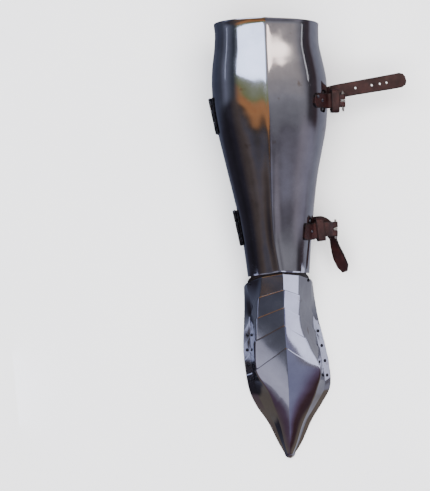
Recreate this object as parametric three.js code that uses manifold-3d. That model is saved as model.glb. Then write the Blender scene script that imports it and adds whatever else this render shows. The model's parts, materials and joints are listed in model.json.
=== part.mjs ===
// A closed plate greave for one leg with the pointed foot defence that is joined to it.
// It lies on its calf plate, the shin ridge up, the knee end towards +Y and the toe towards -Y.
// Units are millimetres. The origin is the middle of the flat spot where the calf rests.

import * as THREE from "three";
import Module from "manifold-3d";
import { mergeVertices } from "three/addons/utils/BufferGeometryUtils.js";

const wasm = await Module();
wasm.setup();

// Objects with the named columns, one for each row of numbers
const table = (names, rows) => rows.map((row) => Object.fromEntries(names.map((name, k) => [name, row[k]])));

// Driving dimensions

const PLATE = 1.5; // thickness of the leg plates
const LAME = 1.3; // thickness of the foot plates
const GAP = 0.35; // clearance between two pieces that touch
const LEATHER = 2.6; // thickness of the straps
const STRAP_WIDTH = 21; // usual width of the buckle tabs
const KNEE_END = 110; // y of the top rim
const ANKLE_END = -247; // y of the bottom rim of the leg plates
const SPLIT_Z = 79; // height of the split between the leg plates, at y = 0
const SPLIT_SLOPE = 0.1176; // rise of the split towards the knee
const CALF_FACETS = 18; // flat facets round the calf plate, an even number so that one is lowest

// Hinge axis on the outer side of the leg: x at y = 0, and how much x falls for each millimetre of y
const AXIS_X = -84.2;
const AXIS_SLOPE = -0.158;
const BARREL = 2.8; // radius of the hinge barrels
const PIN = 1.0; // radius of the hinge pins
const LEAF = 1.2; // thickness of the hinge leaves
const HINGES = [
  { name: "upper", top: 11, bottom: -40 },
  { name: "lower", top: -150, bottom: -201 },
];

const SHANK = 1.2; // radius of a rivet's shank
const HEAD = 2.5; // radius of a rivet's domed head
const HEAD_RISE = 1.5; // height of a rivet's domed head
const BURR = 1.95; // radius of the rivet's inner end
const BURR_RISE = 0.6; // height of the rivet's inner end
const RIVET_SIDES = 6;
const RIVET_HOLE = 1.75; // radius of the hole for a shank
const SAG = 0.6; // a rivet's inner end clears the flat facets of a rounded plate by this much
const HEAD_CLEAR = 0.25; // and its head clears a rounded plate by this much
const ROUND_SIDES = 10; // sides of the rings and folds round a buckle's bar
const HOLE_RADIUS = 1.9; // of the tongue holes in the long strap

// Leg sections: half widths to the hinge side and the buckle side, place and height of the shin
// ridge over the split, lowest point of the calf, and how much the ridge is pinched up
const LEG = [
  { y: 110, left: 74.2, right: 74.4, ridgeX: -3.5, ridge: 66, bottom: 31, keel: 1.0 },
  { y: 100, left: 73.6, right: 73.6, ridgeX: -4, ridge: 66, bottom: 27, keel: 1.2 },
  { y: 77, left: 76.0, right: 73.4, ridgeX: -4.6, ridge: 68, bottom: 15, keel: 1.4 },
  { y: 54, left: 80.0, right: 77.3, ridgeX: -5, ridge: 71, bottom: 6, keel: 1.6 },
  { y: 31, left: 82.1, right: 81.0, ridgeX: -5.5, ridge: 73.5, bottom: 1.4, keel: 1.8 },
  { y: 8, left: 82.2, right: 81.6, ridgeX: -5.5, ridge: 74, bottom: 0, keel: 2.0 },
  { y: -8, left: 81.4, right: 81.2, ridgeX: -5.5, ridge: 73.5, bottom: 0, keel: 2.2 },
  { y: -37, left: 77.6, right: 78.0, ridgeX: -5.6, ridge: 71, bottom: 3, keel: 2.4 },
  { y: -60, left: 73.5, right: 73.2, ridgeX: -5.8, ridge: 68, bottom: 6.5, keel: 2.8 },
  { y: -106, left: 64.9, right: 62.2, ridgeX: -7.2, ridge: 61.5, bottom: 11, keel: 3.4 },
  { y: -152, left: 56.4, right: 54.5, ridgeX: -8.3, ridge: 55, bottom: 12, keel: 3.8 },
  { y: -197, left: 50.6, right: 48.4, ridgeX: -7.5, ridge: 50.5, bottom: 9, keel: 3.6 },
  { y: -247, left: 46.4, right: 43.0, ridgeX: -1.4, ridge: 48.5, bottom: 5, keel: 2.6 },
];

// Foot sections: the ridge, the creases beside it, the foot of the steep side walls, and the
// sole edge to which the side walls flare out
const FOOT = table(
  ["y", "ridgeX", "ridgeZ", "creaseL", "creaseR", "creaseZ", "wallL", "wallR", "wallZ", "edgeL", "edgeR"],
  [
    [-236, 1.5, 102, 27, 25, 88, 50, 45.5, 50, 52, 49],
    [-250, 2.4, 98, 28, 25, 84, 50.5, 45.5, 45, 52, 49.5],
    [-286, 1.6, 90, 34, 23.5, 75, 44, 46, 20, 53, 51.8],
    [-320, 1.0, 82, 38, 23.5, 66, 44, 45, 12, 55.7, 56],
    [-354, 2.0, 74, 42, 36, 54, 46.5, 51, 11, 58.5, 62.5],
    [-386, 2.6, 65, 41, 50.5, 43, 45.5, 55, 11, 57.2, 67.2],
    [-418, 2.4, 55, 25, 43, 36, 41, 56, 12, 52.7, 66.4],
    [-441, 2.0, 47, 18, 34, 30, 33, 44, 11, 43.4, 53.5],
    [-466, 1.7, 37, 12, 22, 24, 20, 28, 9, 28.1, 36.4],
    [-497, 1.2, 23, 6.5, 11.5, 15.5, 10, 15, 6, 14.5, 20.5],
    [-513, 0.9, 12.5, 3, 5, 9, 4.6, 7, 4, 6.6, 9.4],
  ],
);
const TOE_TIP = new THREE.Vector3(0.8, -520, 3.5);
const TOE_HOLLOW_END = new THREE.Vector3(0.8, -509, 6);
const FOOT_KNOTS = [0, 0.42, 0.78, 1]; // u of the ridge, the crease, the foot of the wall and the sole edge
const SOLE = 1.12; // the foot plates run on to this u and are then cut level with the floor

// Rear edges of the foot plates, at the ridge, at the crease and at the sole. Each plate lies over
// the front of the one before it, and turns on a rivet pair near the sole. Inner counts the rows
// of points between the laps.
const FOOT_PLATES = [
  { name: "ankle_plate", ridge: -244.5, crease: -248, sole: -262, inner: 2 },
  { name: "instep_lame_1", ridge: -267, crease: -276, sole: -327, inner: 0, pivot: -334 },
  { name: "instep_lame_2", ridge: -292.5, crease: -306, sole: -349, inner: 0, pivot: -356 },
  { name: "instep_lame_3", ridge: -318, crease: -339, sole: -371, inner: 0, pivot: -378.5 },
  { name: "toe_cap", ridge: -351, crease: -382.5, sole: -393, inner: 6, pivot: -400 },
];
const RIDGE_LAP = 11; // how far a foot plate reaches under the next one at the ridge
const SOLE_LAP = 12; // and at the sole
const TOE_THINNING = 22; // the toe cap grows thinner over this length behind its tip
const PIVOT_U = 0.9; // place of the side rivets on the flared edge

// Surfaces

// Row of a table at y, with smooth values between the rows; the rows run from high y to low y
function rowAt(table, y) {
  const last = table.length - 1;
  let i = 0;
  while (i < last - 1 && y < table[i + 1].y) i += 1;
  const [a, b] = [table[i], table[i + 1]];
  const before = table[Math.max(i - 1, 0)];
  const after = table[Math.min(i + 2, last)];
  const span = b.y - a.y;
  const t = THREE.MathUtils.clamp((y - a.y) / span, 0, 1);
  const row = { y };
  for (const key of Object.keys(a)) {
    const start = (b[key] - before[key]) / (b.y - before.y);
    const end = (after[key] - a[key]) / (after.y - a.y);
    row[key] =
      (2 * t ** 3 - 3 * t ** 2 + 1) * a[key] +
      (t ** 3 - 2 * t ** 2 + t) * span * start +
      (3 * t ** 2 - 2 * t ** 3) * b[key] +
      (t ** 3 - t ** 2) * span * end;
  }
  return row;
}

const splitZ = (y) => SPLIT_Z + SPLIT_SLOPE * y;

// Front of the leg at u from -1 (hinge side) to 1 (buckle side), with the ridge at 0
function shinPoint(u, y) {
  const row = rowAt(LEG, y);
  const a = Math.abs(u);
  const angle = (a * Math.PI) / 2;
  const side = u < 0 ? -row.left : row.right;
  const flatness = 0.3 * (1 - a) ** 2;
  const across = (1 - flatness) * Math.sin(angle) + flatness * a;
  const height = (1 - flatness) * Math.cos(angle) + flatness * (1 - a);
  const pinch = row.keel * (Math.exp(-((a / 0.1) ** 2)) - a * (1 - a));
  const x = row.ridgeX + (side - row.ridgeX) * across;
  return new THREE.Vector3(x, y, splitZ(y) + row.ridge * height + pinch);
}

// Back of the leg at u from -1 (hinge side) to 1 (buckle side), with the lowest line at 0
function calfPoint(u, y) {
  const row = rowAt(LEG, y);
  const angle = (u * Math.PI) / 2;
  const depth = (splitZ(y) - row.bottom) / Math.cos(Math.PI / (2 * CALF_FACETS));
  const side = u < 0 ? row.left : row.right;
  return new THREE.Vector3(side * Math.sin(angle), y, splitZ(y) - depth * Math.cos(angle));
}

// Value at u of a line through knots, rounded at each inner knot over the half width `soft`
function softLine(knots, values, soft, u) {
  const slope = (k) => (values[k + 1] - values[k]) / (knots[k + 1] - knots[k]);
  let i = 0;
  while (i < knots.length - 2 && u > knots[i + 1]) i += 1;
  let value = values[i] + slope(i) * (u - knots[i]);
  for (let k = 1; k < knots.length - 1; k += 1) {
    const off = Math.abs(u - knots[k]);
    if (off < soft) value += ((slope(k) - slope(k - 1)) * (soft - off) ** 2) / (4 * soft);
  }
  return value;
}

// Foot at u from -1 (hinge side sole edge) to 1 (buckle side sole edge), with the ridge at 0
function footPoint(u, y) {
  const row = rowAt(FOOT, y);
  const a = Math.abs(u);
  const sign = u < 0 ? -1 : 1;
  const side = u < 0 ? [row.creaseL, row.wallL, row.edgeL] : [row.creaseR, row.wallR, row.edgeR];
  const x = softLine(FOOT_KNOTS, [row.ridgeX * sign, ...side], CREASE_SOFT, a) * sign;
  const z = softLine(FOOT_KNOTS, [row.ridgeZ, row.creaseZ, row.wallZ, 0], CREASE_SOFT, a);
  return new THREE.Vector3(x, y, z);
}

// Outward normal of a surface by small steps; on a sharp ridge it is the mean of both sides
function normalOf(surface, u, y) {
  const step = 0.01;
  const normal = new THREE.Vector3();
  const along = surface(u, y + 0.5).sub(surface(u, y - 0.5));
  for (const side of [-1, 1]) {
    const around = surface(u + side * step, y).sub(surface(u, y)).multiplyScalar(side);
    normal.add(around.cross(along).normalize());
  }
  return normal.normalize();
}

const shinNormal = (u, y) => normalOf(shinPoint, u, y);
const calfNormal = (u, y) => normalOf(calfPoint, u, y).negate();
const footNormal = (u, y) => normalOf(footPoint, u, y);

// Geometry helpers

// Closed mesh between two grids of points of one size, grid[i][j]. Points that meet are merged,
// so a row may shrink to one point.
function closeGrids(outer, inner) {
  const position = [];
  const index = [];
  const known = new Map();
  const vertex = (p) => {
    const key = [p.x, p.y, p.z].map((c) => Math.round(c * 1000)).join();
    if (!known.has(key)) {
      known.set(key, position.length / 3);
      position.push(p.x, p.y, p.z);
    }
    return known.get(key);
  };
  const triangle = (...points) => {
    const [a, b, c] = points.map(vertex);
    if (a !== b && b !== c && c !== a) index.push(a, b, c);
  };
  const quad = (a, b, c, d) => {
    triangle(a, b, c);
    triangle(a, c, d);
  };
  const last = outer.length - 1;
  const end = outer[0].length - 1;
  for (let i = 0; i < last; i += 1) {
    for (let j = 0; j < end; j += 1) {
      quad(outer[i][j], outer[i][j + 1], outer[i + 1][j + 1], outer[i + 1][j]);
      quad(inner[i][j], inner[i + 1][j], inner[i + 1][j + 1], inner[i][j + 1]);
    }
    quad(outer[i][0], outer[i + 1][0], inner[i + 1][0], inner[i][0]);
    quad(outer[i + 1][end], outer[i][end], inner[i][end], inner[i + 1][end]);
  }
  for (let j = 0; j < end; j += 1) {
    quad(outer[0][j + 1], outer[0][j], inner[0][j], inner[0][j + 1]);
    quad(outer[last][j], outer[last][j + 1], inner[last][j + 1], inner[last][j]);
  }
  const geometry = new THREE.BufferGeometry();
  geometry.setAttribute("position", new THREE.Float32BufferAttribute(position, 3));
  geometry.setIndex(volumeOf(position, index) < 0 ? index.reverse() : index);
  return geometry;
}

// Signed volume of a mesh, negative when its faces point inwards
function volumeOf(position, index) {
  const corner = (k) => new THREE.Vector3().fromArray(position, 3 * index[k]);
  let volume = 0;
  for (let k = 0; k < index.length; k += 3) {
    volume += corner(k).dot(corner(k + 1).cross(corner(k + 2))) / 6;
  }
  return volume;
}

// Grid of a shell between two offsets from a surface, for the lines `us` and the rows yOf(u, j)
function shell(surface, normal, us, rowCount, yOf, low, high) {
  const layer = (offset) => us.map((u) =>
    Array.from({ length: rowCount }, (_, j) => {
      const y = yOf(u, j);
      const lift = typeof offset === "function" ? offset(u, y) : offset;
      return surface(u, y).addScaledVector(normal(u, y), lift);
    }));
  return [layer(high), layer(low)];
}

function toSolid(geometry) {
  const bare = new THREE.BufferGeometry();
  bare.setAttribute("position", geometry.getAttribute("position"));
  if (geometry.index) bare.setIndex(geometry.index);
  const merged = mergeVertices(bare, 1e-3);
  const vertProperties = new Float32Array(merged.getAttribute("position").array);
  const triVerts = new Uint32Array(merged.index.array);
  return new wasm.Manifold(new wasm.Mesh({ numProp: 3, vertProperties, triVerts }));
}

function toGeometry(solid) {
  const mesh = solid.getMesh();
  const geometry = new THREE.BufferGeometry();
  geometry.setAttribute("position", new THREE.Float32BufferAttribute(mesh.vertProperties, mesh.numProp));
  geometry.setIndex(new THREE.Uint32BufferAttribute(mesh.triVerts, 1));
  return geometry;
}

// Axis of the cylinder and lathe geometries
const LATHE_AXIS = new THREE.Vector3(0, 1, 0);

// Cylinder between two points
function rod(from, to, radius, sides = RIVET_SIDES) {
  const axis = to.clone().sub(from);
  const geometry = new THREE.CylinderGeometry(radius, radius, axis.length(), sides);
  const turn = new THREE.Quaternion().setFromUnitVectors(LATHE_AXIS, axis.clone().normalize());
  const middle = from.clone().lerp(to, 0.5);
  return geometry.applyMatrix4(new THREE.Matrix4().compose(middle, turn, new THREE.Vector3(1, 1, 1)));
}

// Solids by name, with the material of each; they become the meshes at the end
const pieces = new Map();

function keep(name, solid, material) {
  pieces.set(name, { solid, material });
}

function cut(names, solid) {
  for (const name of names) {
    const piece = pieces.get(name);
    piece.solid = piece.solid.subtract(solid);
  }
}

// Materials

const metal = (color, roughness) => new THREE.MeshStandardMaterial({ color, roughness, metalness: 1 });
const polishedSteel = metal("#b9bbc4", 0.22);
const darkSteel = metal("#6f7078", 0.4);
const buckleSteel = metal("#8a8578", 0.38);
const strapLeather = new THREE.MeshStandardMaterial({ color: "#4a241c", roughness: 0.6, metalness: 0 });

// A rivet through `names`: its head sits `top` over the surface point and its inner end `depth` below
function rivet(name, point, normal, top, depth, names) {
  const high = top + GAP;
  const low = -depth - SAG - GAP;
  const profile = [
    [0, low - BURR_RISE],
    [BURR, low - BURR_RISE],
    [BURR, low],
    [SHANK, low],
    [SHANK, high],
    [HEAD, high],
    [HEAD * 0.62, high + HEAD_RISE * 0.8],
    [0, high + HEAD_RISE],
  ].map(([x, y]) => new THREE.Vector2(x, y));
  const turn = new THREE.Quaternion().setFromUnitVectors(LATHE_AXIS, normal);
  const place = new THREE.Matrix4().compose(point, turn, new THREE.Vector3(1, 1, 1));
  const reach = normal.clone().multiplyScalar(top + depth + 4);
  cut(names, toSolid(rod(point.clone().sub(reach), point.clone().add(reach), RIVET_HOLE)));
  keep(name, toSolid(new THREE.LatheGeometry(profile, RIVET_SIDES).applyMatrix4(place)), darkSteel);
}

// Leg plates

const LEG_ROWS = [110, 98, 78, 56, 31, 8, -8, -34, -66, -106, -152, -200, -228, -247];
const SHIN_LINES = [0, 0.07, 0.18, 0.32, 0.46, 0.6, 0.74, 0.87, 1];
const RIM_TILT = 4; // the top rim sits this much nearer the knee on the hinge side
const ANKLE_ARCH = 5.5; // the bottom rim rises this much at the shin ridge
const CALF_DIP = 16; // the back of the top rim is cut down this much behind the knee
const SLIT_START = -205; // below this the split opens to a slit that clears the hinge axis
const SLIT = 1.9;

const mirrored = (lines) => [...lines.slice(1).map((u) => -u).reverse(), ...lines];

// y of row j: the rows near a rim follow the rim's own line
function legRow(j, top, bottom) {
  const y = LEG_ROWS[j];
  const nearTop = THREE.MathUtils.clamp((y - 30) / (KNEE_END - 30), 0, 1) ** 2;
  const nearBottom = THREE.MathUtils.clamp((y + 150) / (ANKLE_END + 150), 0, 1) ** 2;
  return y + nearTop * top + nearBottom * bottom;
}

const shinRow = (u, j) => {
  const arch = ANKLE_ARCH * (1 - Math.abs(u)) ** 1.5;
  return legRow(j, -RIM_TILT * Math.sin((u * Math.PI) / 2), arch);
};
const calfRow = (u, j) => {
  const dip = CALF_DIP * Math.cos((u * Math.PI) / 2) ** 2;
  return legRow(j, -dip - RIM_TILT * Math.sin((u * Math.PI) / 2), 0);
};

// Half of the gap between the two leg plates at y
const splitGap = (y) => {
  const open = (y - SLIT_START) / (ANKLE_END - SLIT_START);
  return GAP / 2 + SLIT * THREE.MathUtils.clamp(open, 0, 1);
};

function legPlate(surface, normal, us, yOf, side) {
  const [outer, inner] = shell(surface, normal, us, LEG_ROWS.length, yOf, -PLATE, 0);
  for (const edge of [0, us.length - 1]) {
    for (let j = 0; j < LEG_ROWS.length; j += 1) {
      const y = outer[edge][j].y;
      const z = splitZ(y) + side * splitGap(y);
      outer[edge][j].z = z;
      inner[edge][j].z = z;
    }
  }
  return toSolid(closeGrids(outer, inner));
}

const calfLines = [-1, ...Array.from({ length: CALF_FACETS }, (_, i) => (2 * i + 1) / CALF_FACETS - 1), 1];
keep("front_plate", legPlate(shinPoint, shinNormal, mirrored(SHIN_LINES), shinRow, 1), polishedSteel);
keep("back_plate", legPlate(calfPoint, calfNormal, calfLines, calfRow, -1), polishedSteel);

// Hinges

const axisPoint = (y) => new THREE.Vector3(AXIS_X + AXIS_SLOPE * y, y, splitZ(y));
const LEAF_HEIGHT = 0.13; // height of a leaf as a share of its quarter of the leg
const LEAF_RIVET = 0.64; // height of its rivets as a share of the leaf's own
const RIVET_SHARES = [0.2, 0.8]; // places of the rivets along the leaf
const LEAF_LINES = [0.99, 0.94, 1 - LEAF_HEIGHT];
const LEAF_ROWS = 4;
const LEAF_GAP = GAP + 0.25;
const BARREL_SIDES = 8;
const BARREL_CLEAR = 0.5; // round a barrel, in the plates and the other leaf
const BORE_CLEAR = 0.4; // round the pin
const KNUCKLE_GAP = 0.4;

function hinge({ name, top, bottom }) {
  const knuckle = (top - bottom) / 3;
  const barrel = (k, radius, grow) => {
    const from = axisPoint(top - k * knuckle - KNUCKLE_GAP / 2 + grow);
    const to = axisPoint(top - (k + 1) * knuckle + KNUCKLE_GAP / 2 - grow);
    return toSolid(rod(from, to, radius, BARREL_SIDES));
  };
  const yOf = (u, j) => top + ((bottom - top) * j) / (LEAF_ROWS - 1);
  const leaf = (surface, normal) => {
    const lines = LEAF_LINES.map((u) => -u);
    return toSolid(closeGrids(...shell(surface, normal, lines, LEAF_ROWS, yOf, LEAF_GAP, LEAF_GAP + LEAF)));
  };
  const [first, middle, last] = [0, 1, 2].map((k) => barrel(k, BARREL, 0));
  const clear = [0, 1, 2].map((k) => barrel(k, BARREL + BARREL_CLEAR, KNUCKLE_GAP));
  const bore = toSolid(rod(axisPoint(top + BARREL), axisPoint(bottom - BARREL), PIN + BORE_CLEAR));
  const notch = toSolid(rod(axisPoint(top + 1), axisPoint(bottom - 1), BARREL + BARREL_CLEAR, BARREL_SIDES));
  const front = leaf(shinPoint, shinNormal).add(first).add(last).subtract(clear[1]).subtract(bore);
  const back = leaf(calfPoint, calfNormal).add(middle).subtract(clear[0]).subtract(clear[2]).subtract(bore);
  cut(["front_plate", "back_plate"], notch);
  keep(`${name}_hinge_front_leaf`, front, darkSteel);
  keep(`${name}_hinge_back_leaf`, back, darkSteel);
  keep(`${name}_hinge_pin`, toSolid(rod(axisPoint(top), axisPoint(bottom), PIN)), darkSteel);
  const u = LEAF_HEIGHT * LEAF_RIVET - 1;
  RIVET_SHARES.forEach((share, k) => {
    const y = top + (bottom - top) * share;
    const stack = LEAF_GAP + LEAF;
    const sides = [
      ["front", shinPoint, shinNormal],
      ["back", calfPoint, calfNormal],
    ];
    for (const [side, surface, normal] of sides) {
      const names = [`${side}_plate`, `${name}_hinge_${side}_leaf`];
      rivet(`${name}_hinge_${side}_rivet_${k + 1}`, surface(u, y), normal(u, y), stack, PLATE, names);
    }
  });
}

HINGES.forEach(hinge);

// Foot plates

const FOOT_LINES = [0, 0.2, 0.37, 0.47, 0.62, 0.74, 0.82, 1, SOLE];
const LIFT = LAME + 0.75; // a foot plate stands this much over the one that it laps
const CREASE_SOFT = 0.06; // a crease is rounded over this much of u on each side
const EDGE_SOFT = 0.08; // and the corner of a plate's rear edge over this much

const rearEdge = (plate, u) => {
  const a = Math.abs(u);
  const knots = [0, FOOT_KNOTS[1], 1];
  return softLine(knots, [plate.ridge, plate.crease, plate.sole], EDGE_SOFT, a);
};

// The front edge lies under the next plate
const frontEdge = (k, u) => {
  if (k === FOOT_PLATES.length - 1) return FOOT[FOOT.length - 1].y;
  const lap = THREE.MathUtils.lerp(RIDGE_LAP, SOLE_LAP, Math.min(Math.abs(u), 1));
  return rearEdge(FOOT_PLATES[k + 1], u) - lap;
};

// Rows of plate k at u, from its rear edge to its front edge, with the lift of each row off the
// foot surface: full over the plate that it laps, and none under the next
function footRows(k, u) {
  const first = k === 0;
  const last = k === FOOT_PLATES.length - 1;
  const rear = rearEdge(FOOT_PLATES[k], u);
  const lapEnd = first ? rear : frontEdge(k - 1, u);
  const nextRear = last ? frontEdge(k, u) : rearEdge(FOOT_PLATES[k + 1], u);
  const count = FOOT_PLATES[k].inner;
  const high = first ? 0 : LIFT;
  const rows = first ? [] : [{ y: rear, lift: high }];
  for (let j = 0; j <= count + 1; j += 1) {
    const share = j / (count + 1);
    const settle = last ? Math.min(2.5 * share, 1) : share;
    rows.push({ y: THREE.MathUtils.lerp(lapEnd, nextRear, share), lift: high * (1 - settle) });
  }
  if (!last) rows.push({ y: frontEdge(k, u), lift: 0 });
  return rows;
}

function footPlate(plate, k) {
  const thickness = (y) => LAME * THREE.MathUtils.clamp((y - TOE_TIP.y) / TOE_THINNING, 0.35, 1);
  const layer = (side) => mirrored(FOOT_LINES).map((u) =>
    footRows(k, u).map(({ y, lift }) =>
      footPoint(u, y).addScaledVector(footNormal(u, y), lift - side * thickness(y))));
  const [outer, inner] = [layer(0), layer(1)];
  if (k === FOOT_PLATES.length - 1) {
    outer.forEach((line) => line.push(TOE_TIP));
    inner.forEach((line) => line.splice(-1, 1, TOE_HOLLOW_END, TOE_HOLLOW_END));
  }
  keep(plate.name, toSolid(closeGrids(outer, inner)).trimByPlane([0, 0, 1], 0), polishedSteel);
}

FOOT_PLATES.forEach(footPlate);

FOOT_PLATES.forEach((plate, k) => {
  if (k === 0) return;
  for (const side of [-1, 1]) {
    const u = side * PIVOT_U;
    const names = [FOOT_PLATES[k - 1].name, plate.name];
    const hand = side < 0 ? "outer" : "inner";
    const [point, normal] = [footPoint(u, plate.pivot), footNormal(u, plate.pivot)];
    rivet(`${plate.name}_${hand}_rivet`, point, normal, LIFT + HEAD_CLEAR, LAME, names);
  }
});

// Straps

const UP = new THREE.Vector3(0, 0, 1);
const STRAP_STEPS = 2; // lengths of strap from one station to the next
const ON_PLATE = GAP + 0.3 + LEATHER / 2; // height of a strap's middle over the plate that it lies on

// Station of a strap that lies on a leg plate, or leaves it by a small rise
function laid(surface, normal, { u, y, width, rise = 0 }) {
  const way = surface(u, y + 1).sub(surface(u, y - 1)).normalize();
  return { p: surface(u, y).addScaledVector(normal(u, y), ON_PLATE + rise), way, width };
}

// Station of a strap in the air; roll turns its face about its own length, in degrees
function free(x, y, z, width, roll = 0) {
  return { p: new THREE.Vector3(x, y, z), width, roll: THREE.MathUtils.degToRad(roll) };
}

// Frames along a strap: the middle point, the way along, the way across and the face normal
function strapFrames(stations) {
  const course = new THREE.CatmullRomCurve3(stations.map((s) => s.p), false, "centripetal");
  const last = stations.length - 1;
  const ways = stations.map((s, i) => {
    if (s.way) return s.way;
    const along = course.getTangent(i / last);
    const level = UP.clone().cross(along).normalize();
    return level.applyAxisAngle(along, s.roll);
  });
  return Array.from({ length: last * STRAP_STEPS + 1 }, (_, k) => {
    const i = Math.min(Math.floor(k / STRAP_STEPS), last - 1);
    const share = k / STRAP_STEPS - i;
    const along = course.getTangent(k / (last * STRAP_STEPS));
    const rough = ways[i].clone().lerp(ways[i + 1], share);
    const normal = along.clone().cross(rough).normalize();
    const across = normal.clone().cross(along).normalize();
    const width = THREE.MathUtils.lerp(stations[i].width, stations[i + 1].width, share);
    return { p: course.getPoint(k / (last * STRAP_STEPS)), along, across, normal, width };
  });
}

function strap(frames) {
  const corner = (f, hand, side) => f.p.clone()
    .addScaledVector(f.across, (hand * f.width) / 2)
    .addScaledVector(f.normal, (side * LEATHER) / 2);
  const layer = (side) => [-1, 1].map((hand) => frames.map((f) => corner(f, hand, side)));
  return toSolid(closeGrids(layer(1), layer(-1)));
}

// The frame whose middle is nearest to x
const nearest = (frames, x) => {
  const away = (f) => Math.abs(f.p.x - x);
  return frames.reduce((best, f) => (away(f) < away(best) ? f : best));
};

// Places a geometry made with x along, y across and z on the face of a frame
function placed(geometry, frame, along = 0, rise = 0) {
  const p = frame.p.clone().addScaledVector(frame.along, along).addScaledVector(frame.normal, rise);
  const basis = new THREE.Matrix4().makeBasis(frame.along, frame.across, frame.normal).setPosition(p);
  return geometry.applyMatrix4(basis);
}

// Flat ring with rounded corners, extruded along z and centred
function band(width, height, wall, depth, corner) {
  const outline = (w, h, r) => {
    const path = new THREE.Path();
    path.moveTo(-w / 2 + r, -h / 2);
    const corners = [[1, -1, -90], [1, 1, 0], [-1, 1, 90], [-1, -1, 180]];
    for (const [sx, sy, start] of corners) {
      const from = THREE.MathUtils.degToRad(start);
      path.absarc(sx * (w / 2 - r), sy * (h / 2 - r), r, from, from + Math.PI / 2);
    }
    return path;
  };
  const shape = new THREE.Shape(outline(width, height, corner).getPoints(2));
  const inner = outline(width - 2 * wall, height - 2 * wall, Math.max(corner - wall, 0.4));
  shape.holes.push(new THREE.Path(inner.getPoints(1)));
  const geometry = new THREE.ExtrudeGeometry(shape, { depth, bevelEnabled: false });
  return geometry.translate(0, 0, -depth / 2);
}

const KEEPER = { width: 33, height: 15.2, wall: 2.4, length: 11, corner: 4 };
const BUCKLE = { width: 28, height: 20, wire: 2.6, lean: 8, corner: 3 };
const EYE = { inner: 2.35, outer: 4 }; // radii of the leather fold round the buckle's bar
const TONGUE = { radius: 1, length: 19.6, ring: 3.3, width: 3.2, slot: 4.4 };
const SLOT_REACH = 16; // size of the block that cuts the tongue's slot in the fold

// Buckle tab on the shin plate, with its keeper, buckle and tongue
function buckleTab({ name, y, laidRows, freeRows, keeperAt, rivets }) {
  const onPlate = laidRows.map((r) => laid(shinPoint, shinNormal, { y, ...r }));
  const inAir = freeRows.map((r) => free(r.x, y + r.dy, r.z, r.width));
  const frames = strapFrames([...onPlate, ...inAir]);
  const end = frames[frames.length - 1];
  const bar = { ...end, p: end.p.clone().addScaledVector(end.along, EYE.outer - LEATHER / 2) };
  const round = (radius, length) => toSolid(rod(
    bar.p.clone().addScaledVector(bar.across, -length / 2),
    bar.p.clone().addScaledVector(bar.across, length / 2),
    radius,
    ROUND_SIDES,
  ));
  const fold = round(EYE.outer, end.width);
  const bore = round(EYE.inner, end.width + EYE.outer);
  const slotBox = new THREE.BoxGeometry(SLOT_REACH, TONGUE.slot, SLOT_REACH);
  const slot = toSolid(placed(slotBox, bar, SLOT_REACH / 2 - EYE.outer));
  keep(`${name}_buckle_tab`, strap(frames).add(fold).subtract(bore).subtract(slot), strapLeather);

  const holder = nearest(frames, keeperAt);
  const drop = LEATHER / 2 + 3 * GAP - (KEEPER.height / 2 - KEEPER.wall);
  const loop = band(KEEPER.height, KEEPER.width, KEEPER.wall, KEEPER.length, KEEPER.corner);
  loop.rotateY(Math.PI / 2);
  keep(`${name}_keeper`, toSolid(placed(loop, holder, 0, drop)), strapLeather);

  const lean = THREE.MathUtils.degToRad(BUCKLE.lean);
  const down = new THREE.Vector3(Math.sin(lean), 0, -Math.cos(lean));
  const face = down.clone().cross(bar.across).normalize();
  const hang = { p: bar.p, along: down, across: bar.across, normal: face };
  const frame = band(BUCKLE.height, BUCKLE.width, BUCKLE.wire, BUCKLE.wire, BUCKLE.corner);
  const hangBy = (BUCKLE.height - BUCKLE.wire) / 2;
  keep(`${name}_buckle_frame`, toSolid(placed(frame, hang, hangBy)), buckleSteel);

  const clear = BUCKLE.wire / 2 + TONGUE.radius + GAP;
  const root = bar.p.clone().addScaledVector(face, clear);
  const tip = root.clone().addScaledVector(down, TONGUE.length);
  const prong = toSolid(rod(root, tip, TONGUE.radius));
  const eye = round(EYE.inner, TONGUE.width + EYE.outer);
  keep(`${name}_buckle_tongue`, round(TONGUE.ring, TONGUE.width).add(prong).subtract(eye), buckleSteel);

  rivets.forEach((r, k) => {
    const point = shinPoint(r.u, y + r.dy);
    const names = ["front_plate", `${name}_buckle_tab`];
    const top = ON_PLATE + LEATHER / 2 + r.rise;
    rivet(`${name}_tab_rivet_${k + 1}`, point, shinNormal(r.u, y + r.dy), top, PLATE, names);
  });
}

buckleTab({
  name: "upper",
  y: -4.5,
  laidRows: [
    { u: 0.545, width: 9 },
    { u: 0.56, width: 16 },
    { u: 0.59, width: STRAP_WIDTH },
    { u: 0.66, width: STRAP_WIDTH },
    { u: 0.72, width: STRAP_WIDTH },
  ],
  freeRows: [
    { x: 80, dy: 0, z: 102.3, width: STRAP_WIDTH },
    { x: 90.5, dy: -0.3, z: 100.2, width: STRAP_WIDTH },
    { x: 98.6, dy: -0.6, z: 99.4, width: 18 },
  ],
  keeperAt: 90.5,
  rivets: [
    { u: 0.585, dy: 5.3, rise: 0 },
    { u: 0.66, dy: 0.2, rise: 0 },
  ],
});

buckleTab({
  name: "lower",
  y: -187,
  laidRows: [
    { u: 0.575, width: 19 },
    { u: 0.595, width: 24 },
    { u: 0.66, width: 24, rise: 0.2 },
    { u: 0.76, width: 23, rise: 1.1 },
  ],
  freeRows: [
    { x: 54.6, dy: 1, z: 73.6, width: 23 },
    { x: 61, dy: 1.8, z: 72.5, width: STRAP_WIDTH },
    { x: 70, dy: 2, z: 71.8, width: STRAP_WIDTH },
    { x: 79.5, dy: 1.6, z: 71.4, width: STRAP_WIDTH },
  ],
  keeperAt: 61,
  rivets: [{ u: 0.735, dy: 1, rise: 1 }],
});

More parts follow.
